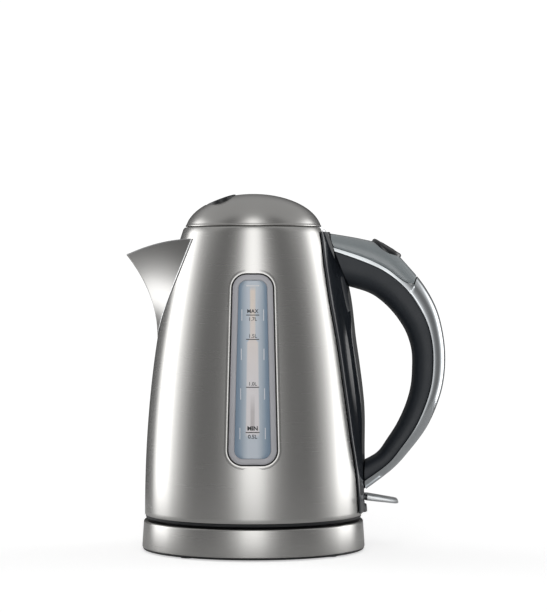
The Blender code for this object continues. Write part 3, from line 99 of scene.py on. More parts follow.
CHEEK_BEND_Z = 214.0 * MM
COVER_END = 3.42                # places along STATIONS, below
COVER_STEP = 0.03
BUTTON_PLACE = 1.98
BUTTON_LENGTH = 23.0 * MM
BUTTON_WIDTH = 24.0 * MM        # wider than the CAD's
BUTTON_DROOP = 1.5 * MM
BUTTON_SIDE_DROOP = 3.9 * MM
LEVER_HEIGHT = 37.5 * MM
LEVER_WALL_Z = 38.0 * MM        # where the wall's radius places the pivot
LEVER_SINK = 1.5 * MM
LEVER_WIDTH = 24.0 * MM
LEVER_DROOP = math.radians(8.0)
BASE_R = 77.8 * MM
BASE_TOP_R = 76.7 * MM
BASE_TOP_Z = 21.3 * MM
BASE_CORNER = 1.5 * MM
SKIRT_WALL = 0.9 * MM
SKIRT_FOOT_Z = 2.4 * MM
CORD_HOLE_Z = 9.2 * MM
CORD_HOLE_R = 5.3 * MM


# ---- Mesh building ---------------------------------------------------------------------
def in_mm(*points):
    """Points given in millimetres, in metres."""
    return [tuple(value * MM for value in point) for point in points]


def add_object(name, data):
    thing = bpy.data.objects.new(name, data)
    bpy.context.scene.collection.objects.link(thing)
    return thing


def make_mesh(name, bm):
    mesh = bpy.data.meshes.new(name)
    bm.to_mesh(mesh)
    bm.free()
    return mesh


def piece(name, bm, material, nodes=(), body="jug", angle=30.0):
    """Turn a bmesh into a shown piece that rides on a body and stands for CAD nodes."""
    bmesh.ops.remove_doubles(bm, verts=bm.verts, dist=1e-7)
    bmesh.ops.recalc_face_normals(bm, faces=bm.faces)
    mesh = make_mesh(name, bm)
    thing = add_object(name, mesh)
    mesh.shade_smooth()
    mesh.set_sharp_from_angle(angle=math.radians(angle))
    if material is not None:
        mesh.materials.append(material)
        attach(thing, body)
        if nodes:
            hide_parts(*nodes)
    return thing


def join_rings(bm, low, high):
    """Faces between two closed rings of as many points."""
    count = len(low)
    for i in range(count):
        j = (i + 1) % count
        bm.faces.new((low[i], low[j], high[j], high[i]))


def loft_mesh(rings, caps=True):
    """Skin a row of equal rings; a ring may be one repeated point."""
    bm = bmesh.new()
    rows = [[bm.verts.new(p) for p in ring] for ring in rings]
    for low, high in zip(rows, rows[1:]):
        join_rings(bm, low, high)
    if caps:
        bm.faces.new(rows[0])
        bm.faces.new(rows[-1])
    return bm


def circle(radius, sides):
    return [(radius * math.cos(2 * math.pi * i / sides), radius * math.sin(2 * math.pi * i / sides))
            for i in range(sides)]


def turned_mesh(profile):
    """Turn a closed (radius, height) outline about the Z axis."""
    bm = bmesh.new()
    rows = []
    for radius, height in profile:
        if radius == 0.0:
            rows.append([bm.verts.new((0.0, 0.0, height))] * FINE)
        else:
            rows.append([bm.verts.new((x, y, height)) for x, y in circle(radius, FINE)])
    for low, high in zip(rows, rows[1:] + rows[:1]):
        for i in range(FINE):
            j = (i + 1) % FINE
            corners = []
            for vert in (low[i], low[j], high[j], high[i]):
                if vert not in corners:
                    corners.append(vert)
            if len(corners) > 2:
                bm.faces.new(corners)
    return bm


def tool(bm):
    return piece("cutter", bm, None)


def prism_tool(outline, axis, low, high):
    """A tool with one outline along an axis."""
    def place(a, b, depth):
        return {"X": (depth, a, b), "Y": (a, depth, b), "Z": (a, b, depth)}[axis]
    return tool(loft_mesh([[place(a, b, depth) for a, b in outline] for depth in (low, high)]))


def box_tool(low, high):
    outline = [(low[0], low[1]), (high[0], low[1]), (high[0], high[1]), (low[0], high[1])]
    return prism_tool(outline, "Z", low[2], high[2])


def rod_tool(start, end, radius):
    start, end = Vector(start), Vector(end)
    turn = (end - start).to_track_quat("Z", "Y").to_matrix()
    around = [turn @ Vector((a, b, 0.0)) for a, b in circle(radius, ROD_SIDES)]
    return tool(loft_mesh([[middle + point for point in around] for middle in (start, end)]))


def rods_around(angles, ring_radius, low, high, radius):
    """Upright rods at angles in degrees around the Z axis."""
    rods = []
    for angle in angles:
        x = ring_radius * math.cos(math.radians(angle))
        y = ring_radius * math.sin(math.radians(angle))
        rods.append(rod_tool((x, y, low), (x, y, high), radius))
    return rods


def hinge_notch():
    """Room at the wall's top for the lid's hinge."""
    return box_tool(*in_mm((41.3, -14.1, 213.25), (51.55, 14.1, 229.0)))


def lever_pivot():
    return Vector((wall_radius(LEVER_WALL_Z) - LEVER_SINK, 0.0, LEVER_HEIGHT))


def lever_slot():
    """Room for the switch lever through the wall and the spine."""
    x = lever_pivot().x
    low, high = in_mm((-8, -12.6, 31.3), (12, 12.6, 43.3))
    return box_tool((x + low[0], *low[1:]), (x + high[0], *high[1:]))


def carve(thing, *tools, angle=30.0):
    """Cut the tools out of a piece and keep the result as its mesh."""
    for cutter in tools:
        step = thing.modifiers.new("carve", "BOOLEAN")
        step.operation = "DIFFERENCE"
        step.solver = "EXACT"
        step.object = cutter
    settle(thing, angle)
    for cutter in tools:
        bpy.data.objects.remove(cutter)


def evaluated_mesh(thing):
    """An object's mesh with its modifiers applied."""
    bpy.context.view_layer.update()
    graph = bpy.context.evaluated_depsgraph_get()
    return bpy.data.meshes.new_from_object(thing.evaluated_get(graph))


def settle(thing, angle=30.0):
    made = evaluated_mesh(thing)
    thing.modifiers.clear()
    thing.data = made
    made.shade_smooth()
    made.set_sharp_from_angle(angle=math.radians(angle))


def arc_points(centre, radius, start, end, steps):
    """Points along an arc between two angles in degrees."""
    turns = [math.radians(start + (end - start) * i / steps) for i in range(steps + 1)]
    return [(centre[0] + radius * math.cos(turn), centre[1] + radius * math.sin(turn))
            for turn in turns]


def smooth_value(x, points):
    """Read a smooth curve through (x, value) points, in rising x, without overshoot."""
    if x <= points[0][0]:
        return points[0][1]
    if x >= points[-1][0]:
        return points[-1][1]
    slopes = []
    for i, (px, value) in enumerate(points):
        if i == 0 or i == len(points) - 1:
            a, b = (points[0], points[1]) if i == 0 else (points[-2], points[-1])
            slopes.append((b[1] - a[1]) / (b[0] - a[0]))
            continue
        before = (value - points[i - 1][1]) / (px - points[i - 1][0])
        after = (points[i + 1][1] - value) / (points[i + 1][0] - px)
        level = before * after <= 0.0
        slopes.append(0.0 if level else 2 * before * after / (before + after))
    i = next(i for i in range(len(points) - 1) if x <= points[i + 1][0])
    (x0, y0), (x1, y1) = points[i], points[i + 1]
    h = x1 - x0
    t = (x - x0) / h
    return ((2 * t ** 3 - 3 * t ** 2 + 1) * y0 + (t ** 3 - 2 * t ** 2 + t) * h * slopes[i]
            + (3 * t ** 2 - 2 * t ** 3) * y1 + (t ** 3 - t ** 2) * h * slopes[i + 1])


def steps_between(low, high, count):
    """Evenly spaced values from low to high, both included."""
    return [low + (high - low) * i / count for i in range(count + 1)]


# ---- Materials -------------------------------------------------------------------------
class Tree:
    """A node tree, with short calls to add and join nodes."""

    def __init__(self, owner):
        owner.use_nodes = True
        self.tree = owner.node_tree

    def add(self, kind, **values):
        """Add a node; each value is one of its settings or, failing that, a socket's value."""
        node = self.tree.nodes.new(kind)
        for key, value in values.items():
            if hasattr(node, key):
                setattr(node, key, value)
            else:
                node.inputs[key.replace("_", " ")].default_value = value
        return node

    def link(self, source, target):
        self.tree.links.new(source, target)

    def feed(self, socket, value):
        """Give a socket a plain value or another node's output."""
        if isinstance(value, (int, float, tuple)):
            socket.default_value = value
        else:
            self.link(value, socket)

    def math(self, operation, a, b=None):
        node = self.add("ShaderNodeMath", operation=operation)
        self.feed(node.inputs[0], a)
        if b is not None:
            self.feed(node.inputs[1], b)
        return node.outputs[0]

    def split(self, vector):
        node = self.add("ShaderNodeSeparateXYZ")
        self.link(vector, node.inputs[0])
        return node.outputs

    def spread(self, value, low, high, start=0.0, end=1.0):
        """Map start to end onto low to high, and no further."""
        node = self.add("ShaderNodeMapRange", From_Min=start, From_Max=end, To_Min=low, To_Max=high)
        self.link(value, node.inputs["Value"])
        return node.outputs["Result"]

    def mix(self, factor, low, high):
        """A colour between two, each an (r, g, b) or a node's output."""
        node = self.add("ShaderNodeMix", data_type="RGBA")
        self.link(factor, node.inputs[0])
        for socket, value in ((node.inputs[6], low), (node.inputs[7], high)):
            self.feed(socket, (*value, 1.0) if isinstance(value, tuple) else value)
        return node.outputs[2]

    def show(self, output, others, camera):
        """Finish with one shader for the camera's own rays and another for all other rays."""
        mix = self.add("ShaderNodeMixShader")
        self.link(self.add("ShaderNodeLightPath").outputs["Is Camera Ray"], mix.inputs[0])
        self.link(others, mix.inputs[1])
        self.link(camera, mix.inputs[2])
        self.link(mix.outputs[0], self.add(output).inputs["Surface"])


class Nodes(Tree):
    """A new material's nodes, around its Principled shader."""

    def __init__(self, name, colour, roughness, metallic=0.0, **sockets):
        self.made = bpy.data.materials.new(name)
        super().__init__(self.made)
        self.shader = self.tree.nodes["Principled BSDF"]
        self.shader.inputs["Base Color"].default_value = (*colour, 1.0)
        self.shader.inputs["Roughness"].default_value = roughness
        self.shader.inputs["Metallic"].default_value = metallic
        for socket, value in sockets.items():
            self.shader.inputs[socket.replace("_", " ")].default_value = value
        self.colour = colour
        self.place = self.add("ShaderNodeTexCoord").outputs["Object"]

    def noise(self, scale, detail=3.0, stretch=None, place=None, rough=0.55):
        """Noise in metres; stretch scales each axis before the noise is read."""
        node = self.add("ShaderNodeTexNoise", Scale=scale, Detail=detail, Roughness=rough)
        source = place or self.place
        if stretch is not None:
            mapping = self.add("ShaderNodeMapping", Scale=stretch)
            self.link(source, mapping.inputs["Vector"])
            source = mapping.outputs["Vector"]
        self.link(source, node.inputs["Vector"])
        return node.outputs["Fac"]

    def blend(self, a, b, share):
        """One value and its rest of another."""
        return self.math("ADD", self.math("MULTIPLY", a, share),
                         self.math("MULTIPLY", b, 1.0 - share))

    def tint(self, value, low, high):
        """Colour between two multiples of the base colour, by a value from 0 to 1."""
        colour = self.mix(value, tuple(c * low for c in self.colour),
                          tuple(min(1.0, c * high) for c in self.colour))
        self.link(colour, self.shader.inputs["Base Color"])

    def rough(self, value, low, high):
        self.link(self.spread(value, low, high, 0.25, 0.75), self.shader.inputs["Roughness"])

    def bump(self, value, strength, distance):
        node = self.add("ShaderNodeBump", Strength=strength, Distance=distance)
        self.link(value, node.inputs["Height"])
        self.link(node.outputs["Normal"], self.shader.inputs["Normal"])


def steel(name, colour, roughness, turned=False, streak=1900.0):
    """Steel brushed around the axis; a turned dome's streaks follow a cone, to stay fine."""
    made = Nodes(name, colour, roughness, 1.0, Anisotropic=0.55, Anisotropic_Rotation=0.25)
    tangent = made.add("ShaderNodeTangent", direction_type="RADIAL", axis="Z")
    made.link(tangent.outputs[0], made.shader.inputs["Tangent"])
    place = made.place
    if turned:
        x, y, z = made.split(made.place)
        square = made.math("ADD", made.math("MULTIPLY", x, x), made.math("MULTIPLY", y, y))
        height = made.math("SUBTRACT", z, made.math("SQRT", square))
        join = made.add("ShaderNodeCombineXYZ")
        for value, socket in zip((x, y, height), join.inputs):
            made.link(value, socket)
        place = join.outputs[0]
    fine = made.noise(1.0, 4.0, (22.0, 22.0, streak), place, 0.62)
    broad = made.noise(1.0, 2.0, (9.0, 9.0, streak / 6.0), place)
    made.tint(fine, 0.985, 1.012)
    made.rough(made.blend(fine, broad, 0.6), roughness * 0.98, roughness * 1.025)
    made.bump(fine, 0.0028, 0.05 * MM)
    return made.made


def moulded(name, colour, roughness, grain=2600.0, strength=0.05, coat=0.0, metallic=0.0):
    """Moulded plastic or rubber: a fine grain, and slow changes in gloss."""
    made = Nodes(name, colour, roughness, metallic, Coat_Weight=coat, Coat_Roughness=0.06)
    fine = made.noise(grain)
    broad = made.noise(60.0)
    made.tint(broad, 0.93, 1.1)
    made.rough(made.blend(fine, broad, 0.35), roughness * 0.82, roughness * 1.2)
    made.bump(fine, strength, 0.06 * MM)
    return made.made


STEEL = steel("brushed_steel", (0.60, 0.592, 0.575), 0.27)
# The spout's steel: a darker, rougher copy of the jug's steel; the darker colour is painted shade.
SHADED_SPOUT_STEEL = steel("brushed_steel_spout_shaded", (0.47, 0.465, 0.455), 0.34)
DOME = steel("brushed_steel_dome", (0.58, 0.572, 0.555), 0.29, turned=True)
BRIGHT = steel("bright_steel", (0.72, 0.725, 0.73), 0.16, streak=900.0)
SATIN = moulded("satin_silver", (0.66, 0.69, 0.71), 0.15, grain=3400.0, strength=0.03, metallic=1.0)
SMOKE = moulded("smoke_grey", (0.29, 0.322, 0.334), 0.2, strength=0.02, coat=0.5)
GLOSS = moulded("gloss_black", (0.020, 0.024, 0.030), 0.16, strength=0.02, coat=0.5)
BLACK = moulded("black_plastic", (0.017, 0.019, 0.021), 0.42, grain=1800.0, strength=0.16)
BUTTON = moulded("gloss_black_button", (0.012, 0.013, 0.015), 0.2, strength=0.03, coat=0.3)
GRIP = moulded("soft_grip", (0.019, 0.024, 0.031), 0.44, grain=1500.0, strength=0.14)
RUBBER = moulded("rubber", (0.014, 0.014, 0.015), 0.75, grain=1200.0, strength=0.25)
FROST = moulded("frosted_rim", (0.52, 0.52, 0.55), 0.34, grain=2200.0, strength=0.08, coat=0.25)
# The paddle's silver: a lighter, rougher copy of satin_silver; the lighter colour is painted light.
LIT_PADDLE_SILVER = moulded("satin_silver_paddle_lit", (0.78, 0.80, 0.81), 0.36, grain=3400.0, strength=0.03,
                 metallic=1.0)
PALE = moulded("pale_plastic", (0.72, 0.68, 0.60), 0.5, strength=0.08)
SEAL = moulded("silicone", (0.5, 0.51, 0.52), 0.6, strength=0.1)
BRASS = steel("brass", (0.68, 0.48, 0.2), 0.28, streak=700.0)
ALUMINIUM = moulded("aluminium", (0.6, 0.6, 0.61), 0.42, grain=900.0, strength=0.3, metallic=1.0)
# Black for the printed gauge lines and labels, and for the painted shadow line beside the spout's
# weld.
PRINT_AND_SHADOW_BLACK = moulded("black_print_and_painted_shadow", (0.018, 0.02, 0.024), 0.5, strength=0.05)
# White for the printed ticks, and for the painted highlight bar near the channel's top.
PRINT_AND_HIGHLIGHT_WHITE = moulded("white_print_and_painted_highlight", (0.85, 0.86, 0.88), 0.4, strength=0.05)


def window_material():
    """Blue frosted plastic with painted light: a pale column along its middle is a painted
    reflection, darker in its lower core, with a painted lighter halo around it and painted shade
    towards the sides.
    """
    made = Nodes("window_blue", (0.30, 0.37, 0.43), 0.16, Coat_Weight=0.6, Coat_Roughness=0.04)

    def fade(value, low, high, start, end):
        return made.spread(value, low, high, start * MM, end * MM)

    def both(a, b):
        return made.math("MULTIPLY", a, b)

    x, _, height = made.split(made.place)
    side = made.math("ABSOLUTE", x)
    # The pale column down the middle is a painted reflection: its half width, narrower above 146.5
    # mm, and its fading ends.
    wide = made.spread(height, 4.5 * MM, 3.7 * MM, 84.0 * MM, 146.0 * MM)
    narrow = both(fade(height, 0.0, 1.0, 146.5, 149.0), 1.9 * MM)
    beyond = made.math("SUBTRACT", side, made.math("SUBTRACT", wide, narrow))
    ends = both(fade(height, 0.0, 1.0, 83.0, 86.0), fade(height, 1.0, 0.0, 181.0, 185.0))
    reflection_column = both(fade(beyond, 1.0, 0.0, -0.5, 0.5), ends)
    # The painted reflection is darker in its lower core.
    core_ends = both(fade(height, 0.0, 1.0, 86.5, 90.0), fade(height, 1.0, 0.0, 100.0, 112.0))
    reflection_core = both(fade(side, 0.75, 0.0, 1.0, 1.8), core_ends)

    cloud = made.noise(90.0, 3.0, (1.0, 1.0, 0.25))
    shade = made.mix(cloud, (0.33, 0.42, 0.52), (0.47, 0.56, 0.64))
    # A painted lighter halo around the reflection column.
    painted_halo = made.mix(fade(side, 0.7, 0.0, 3.0, 6.6), shade, (0.66, 0.72, 0.80))
    # edge is painted shade: the channel darkens towards its sides, in its inner corners.
    edge = made.mix(fade(side, 0.0, 0.8, 6.2, 8.8), painted_halo, (0.24, 0.34, 0.46))
    # The painted reflection's colour: warmer towards the top, darker in its core.
    reflection_warm_tint = made.mix(fade(height, 0.0, 1.0, 120.0, 176.0), (0.90, 0.84, 0.84), (0.92, 0.78, 0.66))
    reflection_tone = made.mix(reflection_core, reflection_warm_tint, (0.50, 0.44, 0.43))
    made.link(made.mix(both(reflection_column, 0.85), edge, reflection_tone), made.shader.inputs["Base Color"])
    frost = made.noise(1500.0)
    made.rough(frost, 0.12, 0.2)
    made.bump(frost, 0.02, 0.05 * MM)
    return made.made


PANE = window_material()

FINISH = {"brushed_steel": STEEL, "bright_steel": BRIGHT, "satin_silver": SATIN,
          "smoke_grey": SMOKE, "gloss_black": GLOSS, "black_plastic": BLACK, "soft_grip": GRIP,
          "rubber": RUBBER, "window_blue": PANE, "frosted_rim": FROST, "pale_plastic": PALE,
          "silicone": SEAL, "brass": BRASS, "aluminium": ALUMINIUM}
SLOTS = {made.name: slot for slot, made in FINISH.items()}
SLOTS.update({SHADED_SPOUT_STEEL.name: "brushed_steel", DOME.name: "brushed_steel",
              LIT_PADDLE_SILVER.name: "satin_silver", BUTTON.name: "black_plastic",
              PRINT_AND_SHADOW_BLACK.name: "black_plastic", PRINT_AND_HIGHLIGHT_WHITE.name: "pale_plastic"})


def dress_frame():
    """Give every CAD node the detailed finish of its own slot."""
    for part in frame["record"]["subparts"]:
        thing = frame["nodes"].get(part["node"])
        if thing is None:
            continue
        thing.data.materials.clear()
        thing.data.materials.append(FINISH[part["material_slot"]])


# ---- Jug -------------------------------------------------------------------------------
def wall_radius(z):
    """Outer radius of the jug's wall at a height."""
    rise = max(0.0, z - JUG_CENTRE_Z) / JUG_ARC_H
    return JUG_FOOT_R * math.sqrt(max(0.04, 1.0 - rise * rise))


def window_outline(grow):
    """The window's rounded, tapered outline in X and Z, grown by a margin."""
    corner = WINDOW_CORNER + grow
    foot = WINDOW_FOOT_Z - grow + corner
    top = WINDOW_TOP_Z + grow - corner
    foot_x = WINDOW_FOOT_HALF + grow - corner
    top_x = WINDOW_TOP_HALF + grow - corner
    right = [(foot_x + corner + (top_x - foot_x) * i / WINDOW_STEPS,
              foot + (top - foot) * i / WINDOW_STEPS) for i in range(1, WINDOW_STEPS)]

    def bend(x, z, start):
        return arc_points((x, z), corner, start, start + 90, CORNER_STEPS)

    left = [(-x, z) for x, z in reversed(right)]
    return (bend(foot_x, foot, -90) + right + bend(top_x, top, 0) + bend(-top_x, top, 90) + left
            + bend(-foot_x, foot, 180))


def on_wall(x, z, rise):
    """A point in front of the wall, at an X and Z and a rise out of it."""
    radius = wall_radius(z) + rise
    return (x, -math.sqrt(radius * radius - x * x), z)


def window_ring(*section):
    """A closed moulding around the window from (margin, rise) points in millimetres."""
    bm = bmesh.new()
    rings = [[bm.verts.new(on_wall(x, z, rise)) for x, z in window_outline(grow)]
             for grow, rise in in_mm(*section)]
    for a, b in zip(rings, rings[1:] + rings[:1]):
        join_rings(bm, a, b)
    return bm


def window_pane(grow, front, back):
    """A curved pane that fills the outline."""
    rim = window_outline(grow)
    low, high = WINDOW_FOOT_Z - grow + PANE_CORE, WINDOW_TOP_Z + grow - PANE_CORE

    def level(share, rise):
        ring = []
        for x, z in rim:
            middle = min(max(z, low), high)
            ring.append(on_wall(x * share, middle + (z - middle) * share, rise))
        return ring

    rings = [level(share, front) for share in (0.0, 0.25, 0.5, 0.75, 0.95)]
    rings += [level(1.0, front - 0.25 * MM), level(1.0, back)]
    rings += [level(share, back) for share in (0.5, 0.0)]
    return loft_mesh(rings, caps=False)


def make_wall():
    """The jug's steel wall, open at the window, spout, hinge, latch and lever."""
    top = JUG_RIM_Z - 1.2 * MM
    heights = steps_between(JUG_BOTTOM_Z + 0.5 * MM, top, 72)
    outside = [(JUG_FOOT_R - 0.45 * MM, JUG_BOTTOM_Z),
               (JUG_FOOT_R - 0.1 * MM, JUG_BOTTOM_Z + 0.15 * MM)]
    outside += [(wall_radius(z), z) for z in heights]
    lip = [(JUG_RIM_R - inset, JUG_RIM_Z - drop) for inset, drop in
           in_mm((0.15, 0.5), (0.5, 0.12), (1.0, 0.0), (2.2, 0.0), (2.2, 0.6))]
    inside = [(wall_radius(z) - JUG_WALL, z)
              for z in reversed(steps_between(JUG_BOTTOM_Z, top, 40))]
    wall = piece("jug_wall", turned_mesh(outside + lip + inside), STEEL, ["jug_shell"])
    mouth = in_mm((8.0, 166.0), (20.0, 204.5), (16.0, 208.5))
    mouth += [(-y, z) for y, z in reversed(mouth)]
    latch_slot = in_mm((50.0, -5.0, 213.4), (62.0, 5.0, 220.4))
    carve(wall, prism_tool(window_outline(0.0), "Y", -100 * MM, -20 * MM),
          prism_tool(mouth, "X", -100 * MM, -24 * MM), hinge_notch(), box_tool(*latch_slot),
          lever_slot())
    bead = window_ring((0.02, -0.75), (0.02, -0.20), (0.15, 0.0), (0.45, 0.14), (0.9, 0.20),
                       (1.4, 0.17), (2.3, 0.02), (2.5, -0.3))
    piece("window_bead", bead, STEEL)


def make_window():
    """The window: a dark gasket line, a frosted rim, and the blue channel inside it."""
    line = window_ring((-0.05, -0.15), (-0.85, -0.15), (-0.85, -1.0), (-0.05, -1.0))
    piece("gasket_line", line, RUBBER, ["window_gasket"])
    rim = window_ring((-0.95, -2.4), (-0.95, -0.4), (-1.4, -0.22), (-3.0, -0.22), (-4.3, -0.34),
                      (-4.85, -0.75), (-4.85, -2.4))
    piece("window_rim", rim, FROST, ["window_pane"])
    piece("window_channel", window_pane(-4.9 * MM, -0.85 * MM, -2.4 * MM), PANE)


def mark_mesh(left, right, low, high):
    """A thin printed bar on the channel, between two X and two Z values in millimetres."""
    xs = steps_between(left * MM, right * MM, 6)
    return loft_mesh([[on_wall(x, z * MM, -0.80 * MM) for x in xs]
                      + [on_wall(x, z * MM, -0.95 * MM) for x in reversed(xs)]
                      for z in (low, high)])


def label_mesh(text, height, z, bold):
    """Generic lettering as a thin solid wrapped onto the channel."""
    curve = bpy.data.curves.new("label", "FONT")
    curve.body = text
    curve.size = height
    curve.align_x = "CENTER"
    curve.offset = bold
    curve.extrude = 0.05 * MM
    holder = add_object("label", curve)
    bm = bmesh.new()
    bm.from_mesh(evaluated_mesh(holder))
    bpy.data.objects.remove(holder)
    for vert in bm.verts:
        vert.co = on_wall(vert.co.x, z + vert.co.y, -0.83 * MM + vert.co.z)
    return bm


def make_marks():
    """The water-level marks: lines, labels and rows of ticks, and near the top a white bar that is
    a painted highlight.
    """
    lines = [(164.8, 4.4), (148.5, 4.4), (116.5, 4.4), (86.3, 4.7)]
    for number, (z, half) in enumerate(lines, 1):
        piece(f"gauge_line_{number}", mark_mesh(-half, half, z - 0.28, z + 0.28), PRINT_AND_SHADOW_BLACK)
    labels = [("MAX", 3.6, 166.2, 0.05), ("1.7L", 3.4, 161.0, 0.02), ("1.5L", 3.4, 149.6, 0.02),
              ("1.0L", 3.4, 117.6, 0.02), ("MIN", 4.0, 87.7, 0.12), ("0.5L", 3.6, 82.3, 0.05)]
    for number, (text, size, z, bold) in enumerate(labels, 1):
        piece(f"gauge_label_{number}", label_mesh(text, size * MM, z * MM, bold * MM), PRINT_AND_SHADOW_BLACK)
    # A painted highlight: a white bar across the channel near its top.
    piece("gauge_painted_highlight", mark_mesh(-4.4, 4.4, 184.1, 185.0), PRINT_AND_HIGHLIGHT_WHITE)
    ticks = [(164.8, 7.3), (138.5, 7.6), (112.0, 8.0), (85.6, 8.5)]
    for number, (z, x) in enumerate(ticks, 1):
        for side, word in ((-1, "left"), (1, "right")):
            left, right = sorted((side * (x - 0.25), side * (x + 0.25)))
            piece(f"gauge_tick_{word}_{number}", mark_mesh(left, right, z - 3.8, z + 3.8), PRINT_AND_HIGHLIGHT_WHITE)


def make_underside():
    """The black cover under the jug, whose edge shows as a band, with its screw holes."""
    z = JUG_BOTTOM_Z - 2.2 * MM
    band = JUG_FOOT_R - 0.6 * MM
    steel_foot = JUG_BOTTOM_Z - 0.12 * MM
    inside = JUG_FOOT_R - JUG_WALL - GAP
    thin = 1.8 * MM
    bore = 18.6 * MM
    profile = [(bore, z), (band - 0.9 * MM, z), (band - 0.3 * MM, z + 0.25 * MM),
               (band, z + 0.9 * MM), (band, steel_foot), (inside, steel_foot),
               (inside, z + 6 * MM), (inside - thin, z + 6 * MM), (inside - thin, z + thin),
               (bore, z + thin)]
    cover = piece("jug_band", turned_mesh(profile), BLACK, ["jug_underside_cover"])
    carve(cover, *rods_around((60.0, 180.0, 300.0), SCREW_RING_R, z - MM, z + 4 * MM, 2.3 * MM))


# ---- Spout -----------------------------------------------------------------------------
SPOUT_SWEEP = 2.1               # how late the keel swings out
SPOUT_FLARE = 2.2               # how early the seam opens
SPOUT_FLARE_END = 0.95
SPOUT_SWELL_Y = 2.2 * MM
SPOUT_SWELL_Z = 2.6 * MM
EDGE_R = 0.5 * MM               # of the rolls along the keel and lip
# The weld's painted shadow line: its radius, and how far beyond the seam it lies.
WELD_SHADOW_R = 0.26 * MM
WELD_SHADOW_OUT = 1.25 * MM
WELD_HALF = 0.75 * MM
WELD_RISE = 0.34 * MM


def spout_keel(v):
    """The spout's front edge, from its foot (0) to its tip (1)."""
    z = SPOUT_FOOT_Z + (SPOUT_TIP_Z - SPOUT_FOOT_Z) * v
    root = wall_radius(SPOUT_FOOT_Z) + GAP
    return Vector((-root - SPOUT_OUT * v ** SPOUT_SWEEP, 0.0, z))


def spout_seam(v, lift=-GAP):
    """Where the spout meets the wall, from its foot (0) to its top (1)."""
    z = SPOUT_FOOT_Z + (SPOUT_ROOT_Z - SPOUT_FOOT_Z) * v
    half = SPOUT_HALF * (1.0 - (1.0 - v) ** SPOUT_FLARE) ** SPOUT_FLARE_END
    radius = wall_radius(z) + lift
    return Vector((-math.sqrt(radius * radius - half * half), half, z))


def spout_point(t, v):
    """A point on the sheet, from the keel (0) to the seam (1)."""
    point = spout_keel(v).lerp(spout_seam(v), t)
    swell = 4.0 * t * (1.0 - t)
    point.y += SPOUT_SWELL_Y * swell * v
    point.z += SPOUT_SWELL_Z * swell * v ** 3
    return point


def tube_mesh(path, radius):
    rings = []
    for i, point in enumerate(path):
        ahead = (path[min(i + 1, len(path) - 1)] - path[max(i - 1, 0)]).normalized()
        across = ahead.cross(Vector((0.0, 0.0, 1.0)))
        across = across.normalized() if across.length > 1e-6 else Vector((0.0, 1.0, 0.0))
        up = across.cross(ahead)
        rings.append([point + across * a + up * b for a, b in circle(radius, TUBE_SIDES)])
    return loft_mesh(rings)


def spout_sheet():
    """The spout's sheet, without thickness, as two mirrored flanks that meet at the keel."""
    bm = bmesh.new()
    across, up = 28, 64
    rows = []
    for j in range(1, up + 1):
        side = [spout_point(i / across, j / up) for i in range(across + 1)]
        mirrored = [Vector((p.x, -p.y, p.z)) for p in reversed(side[1:])]
        rows.append([bm.verts.new(p) for p in mirrored + side])
    foot = bm.verts.new(spout_keel(0.0))
    for a, b in zip(rows[0], rows[0][1:]):
        bm.faces.new((foot, a, b))
    for low, high in zip(rows, rows[1:]):
        for i in range(len(low) - 1):
            bm.faces.new((low[i], low[i + 1], high[i + 1], high[i]))
    return bm


# A thin black tube on the wall just beyond the weld: a painted shadow of the weld.
def weld_shadow_line(side):
    line = []
    for v in steps_between(0.03, 1.0, 60):
        point = spout_seam(v, 0.0)
        radius = wall_radius(point.z)
        turn = math.atan2(point.y, -point.x) + WELD_SHADOW_OUT / radius
        line.append(Vector((-radius * math.cos(turn), side * radius * math.sin(turn), point.z)))
    return tube_mesh(line, WELD_SHADOW_R)


def weld_bead(side):
    lift = 0.1 * MM
    rings = []
    for v in steps_between(0.02, 1.0, 60):
        point = spout_seam(v, lift)
        ahead = spout_seam(min(v + 0.01, 1.0), lift) - spout_seam(v - 0.01, lift)
        point.y *= side
        ahead.y *= side
        out = Vector((point.x, point.y, 0.0)).normalized()
        flank = ahead.cross(out).normalized()
        rings.append([point + flank * (WELD_HALF * a) + out * (WELD_RISE * b)
                      for a, b in circle(1.0, TUBE_SIDES)])
    return loft_mesh(rings)


def make_spout():
    """The pressed spout, its rolled edges, its weld, and a black line on the wall beside the weld
    that is a painted shadow.
    """
    spout = piece("spout_sheet", spout_sheet(), SHADED_SPOUT_STEEL, ["spout"], angle=38.0)
    inward = spout.data.polygons[-1].normal.x > 0
    thick = spout.modifiers.new("sheet thickness", "SOLIDIFY")
    thick.thickness = SPOUT_WALL
    thick.offset = 1.0 if inward else -1.0
    thick.use_even_offset = False
    settle(spout, 38.0)

    def trim(name, bm, material):
        piece(name, bm, material, angle=60.0)

    inset = Vector((0.45 * MM, 0.0, 0.1 * MM))
    keel = [spout_keel(v) + inset for v in steps_between(0.0, 1.0, 64)]
    trim("spout_keel", tube_mesh(keel, EDGE_R), SHADED_SPOUT_STEEL)
    for side, word in ((-1, "front"), (1, "back")):
        lip = [spout_point(t, 0.995) for t in steps_between(0.01, 0.98, 40)]
        lip = [Vector((p.x + 0.3 * MM, side * (abs(p.y) - 0.3 * MM), p.z)) for p in lip]
        trim(f"spout_lip_{word}", tube_mesh(lip, EDGE_R), BRIGHT)
        # The painted shadow line beside the weld.
        trim(f"spout_weld_shadow_{word}", weld_shadow_line(side), PRINT_AND_SHADOW_BLACK)
        trim(f"spout_weld_{word}", weld_bead(side), BRIGHT)


# ---- Lid -------------------------------------------------------------------------------
def dome_radius(z, inset=0.0):
    """Radius of the lid's dome at a height; inset gives a smaller dome inside it."""
    height = LID_RISE + LID_SINK - inset
    share = (z - SEAM_Z + LID_SINK) / height
    return (LID_FULL_R - inset) * math.sqrt(max(0.0, 1.0 - share ** 2))


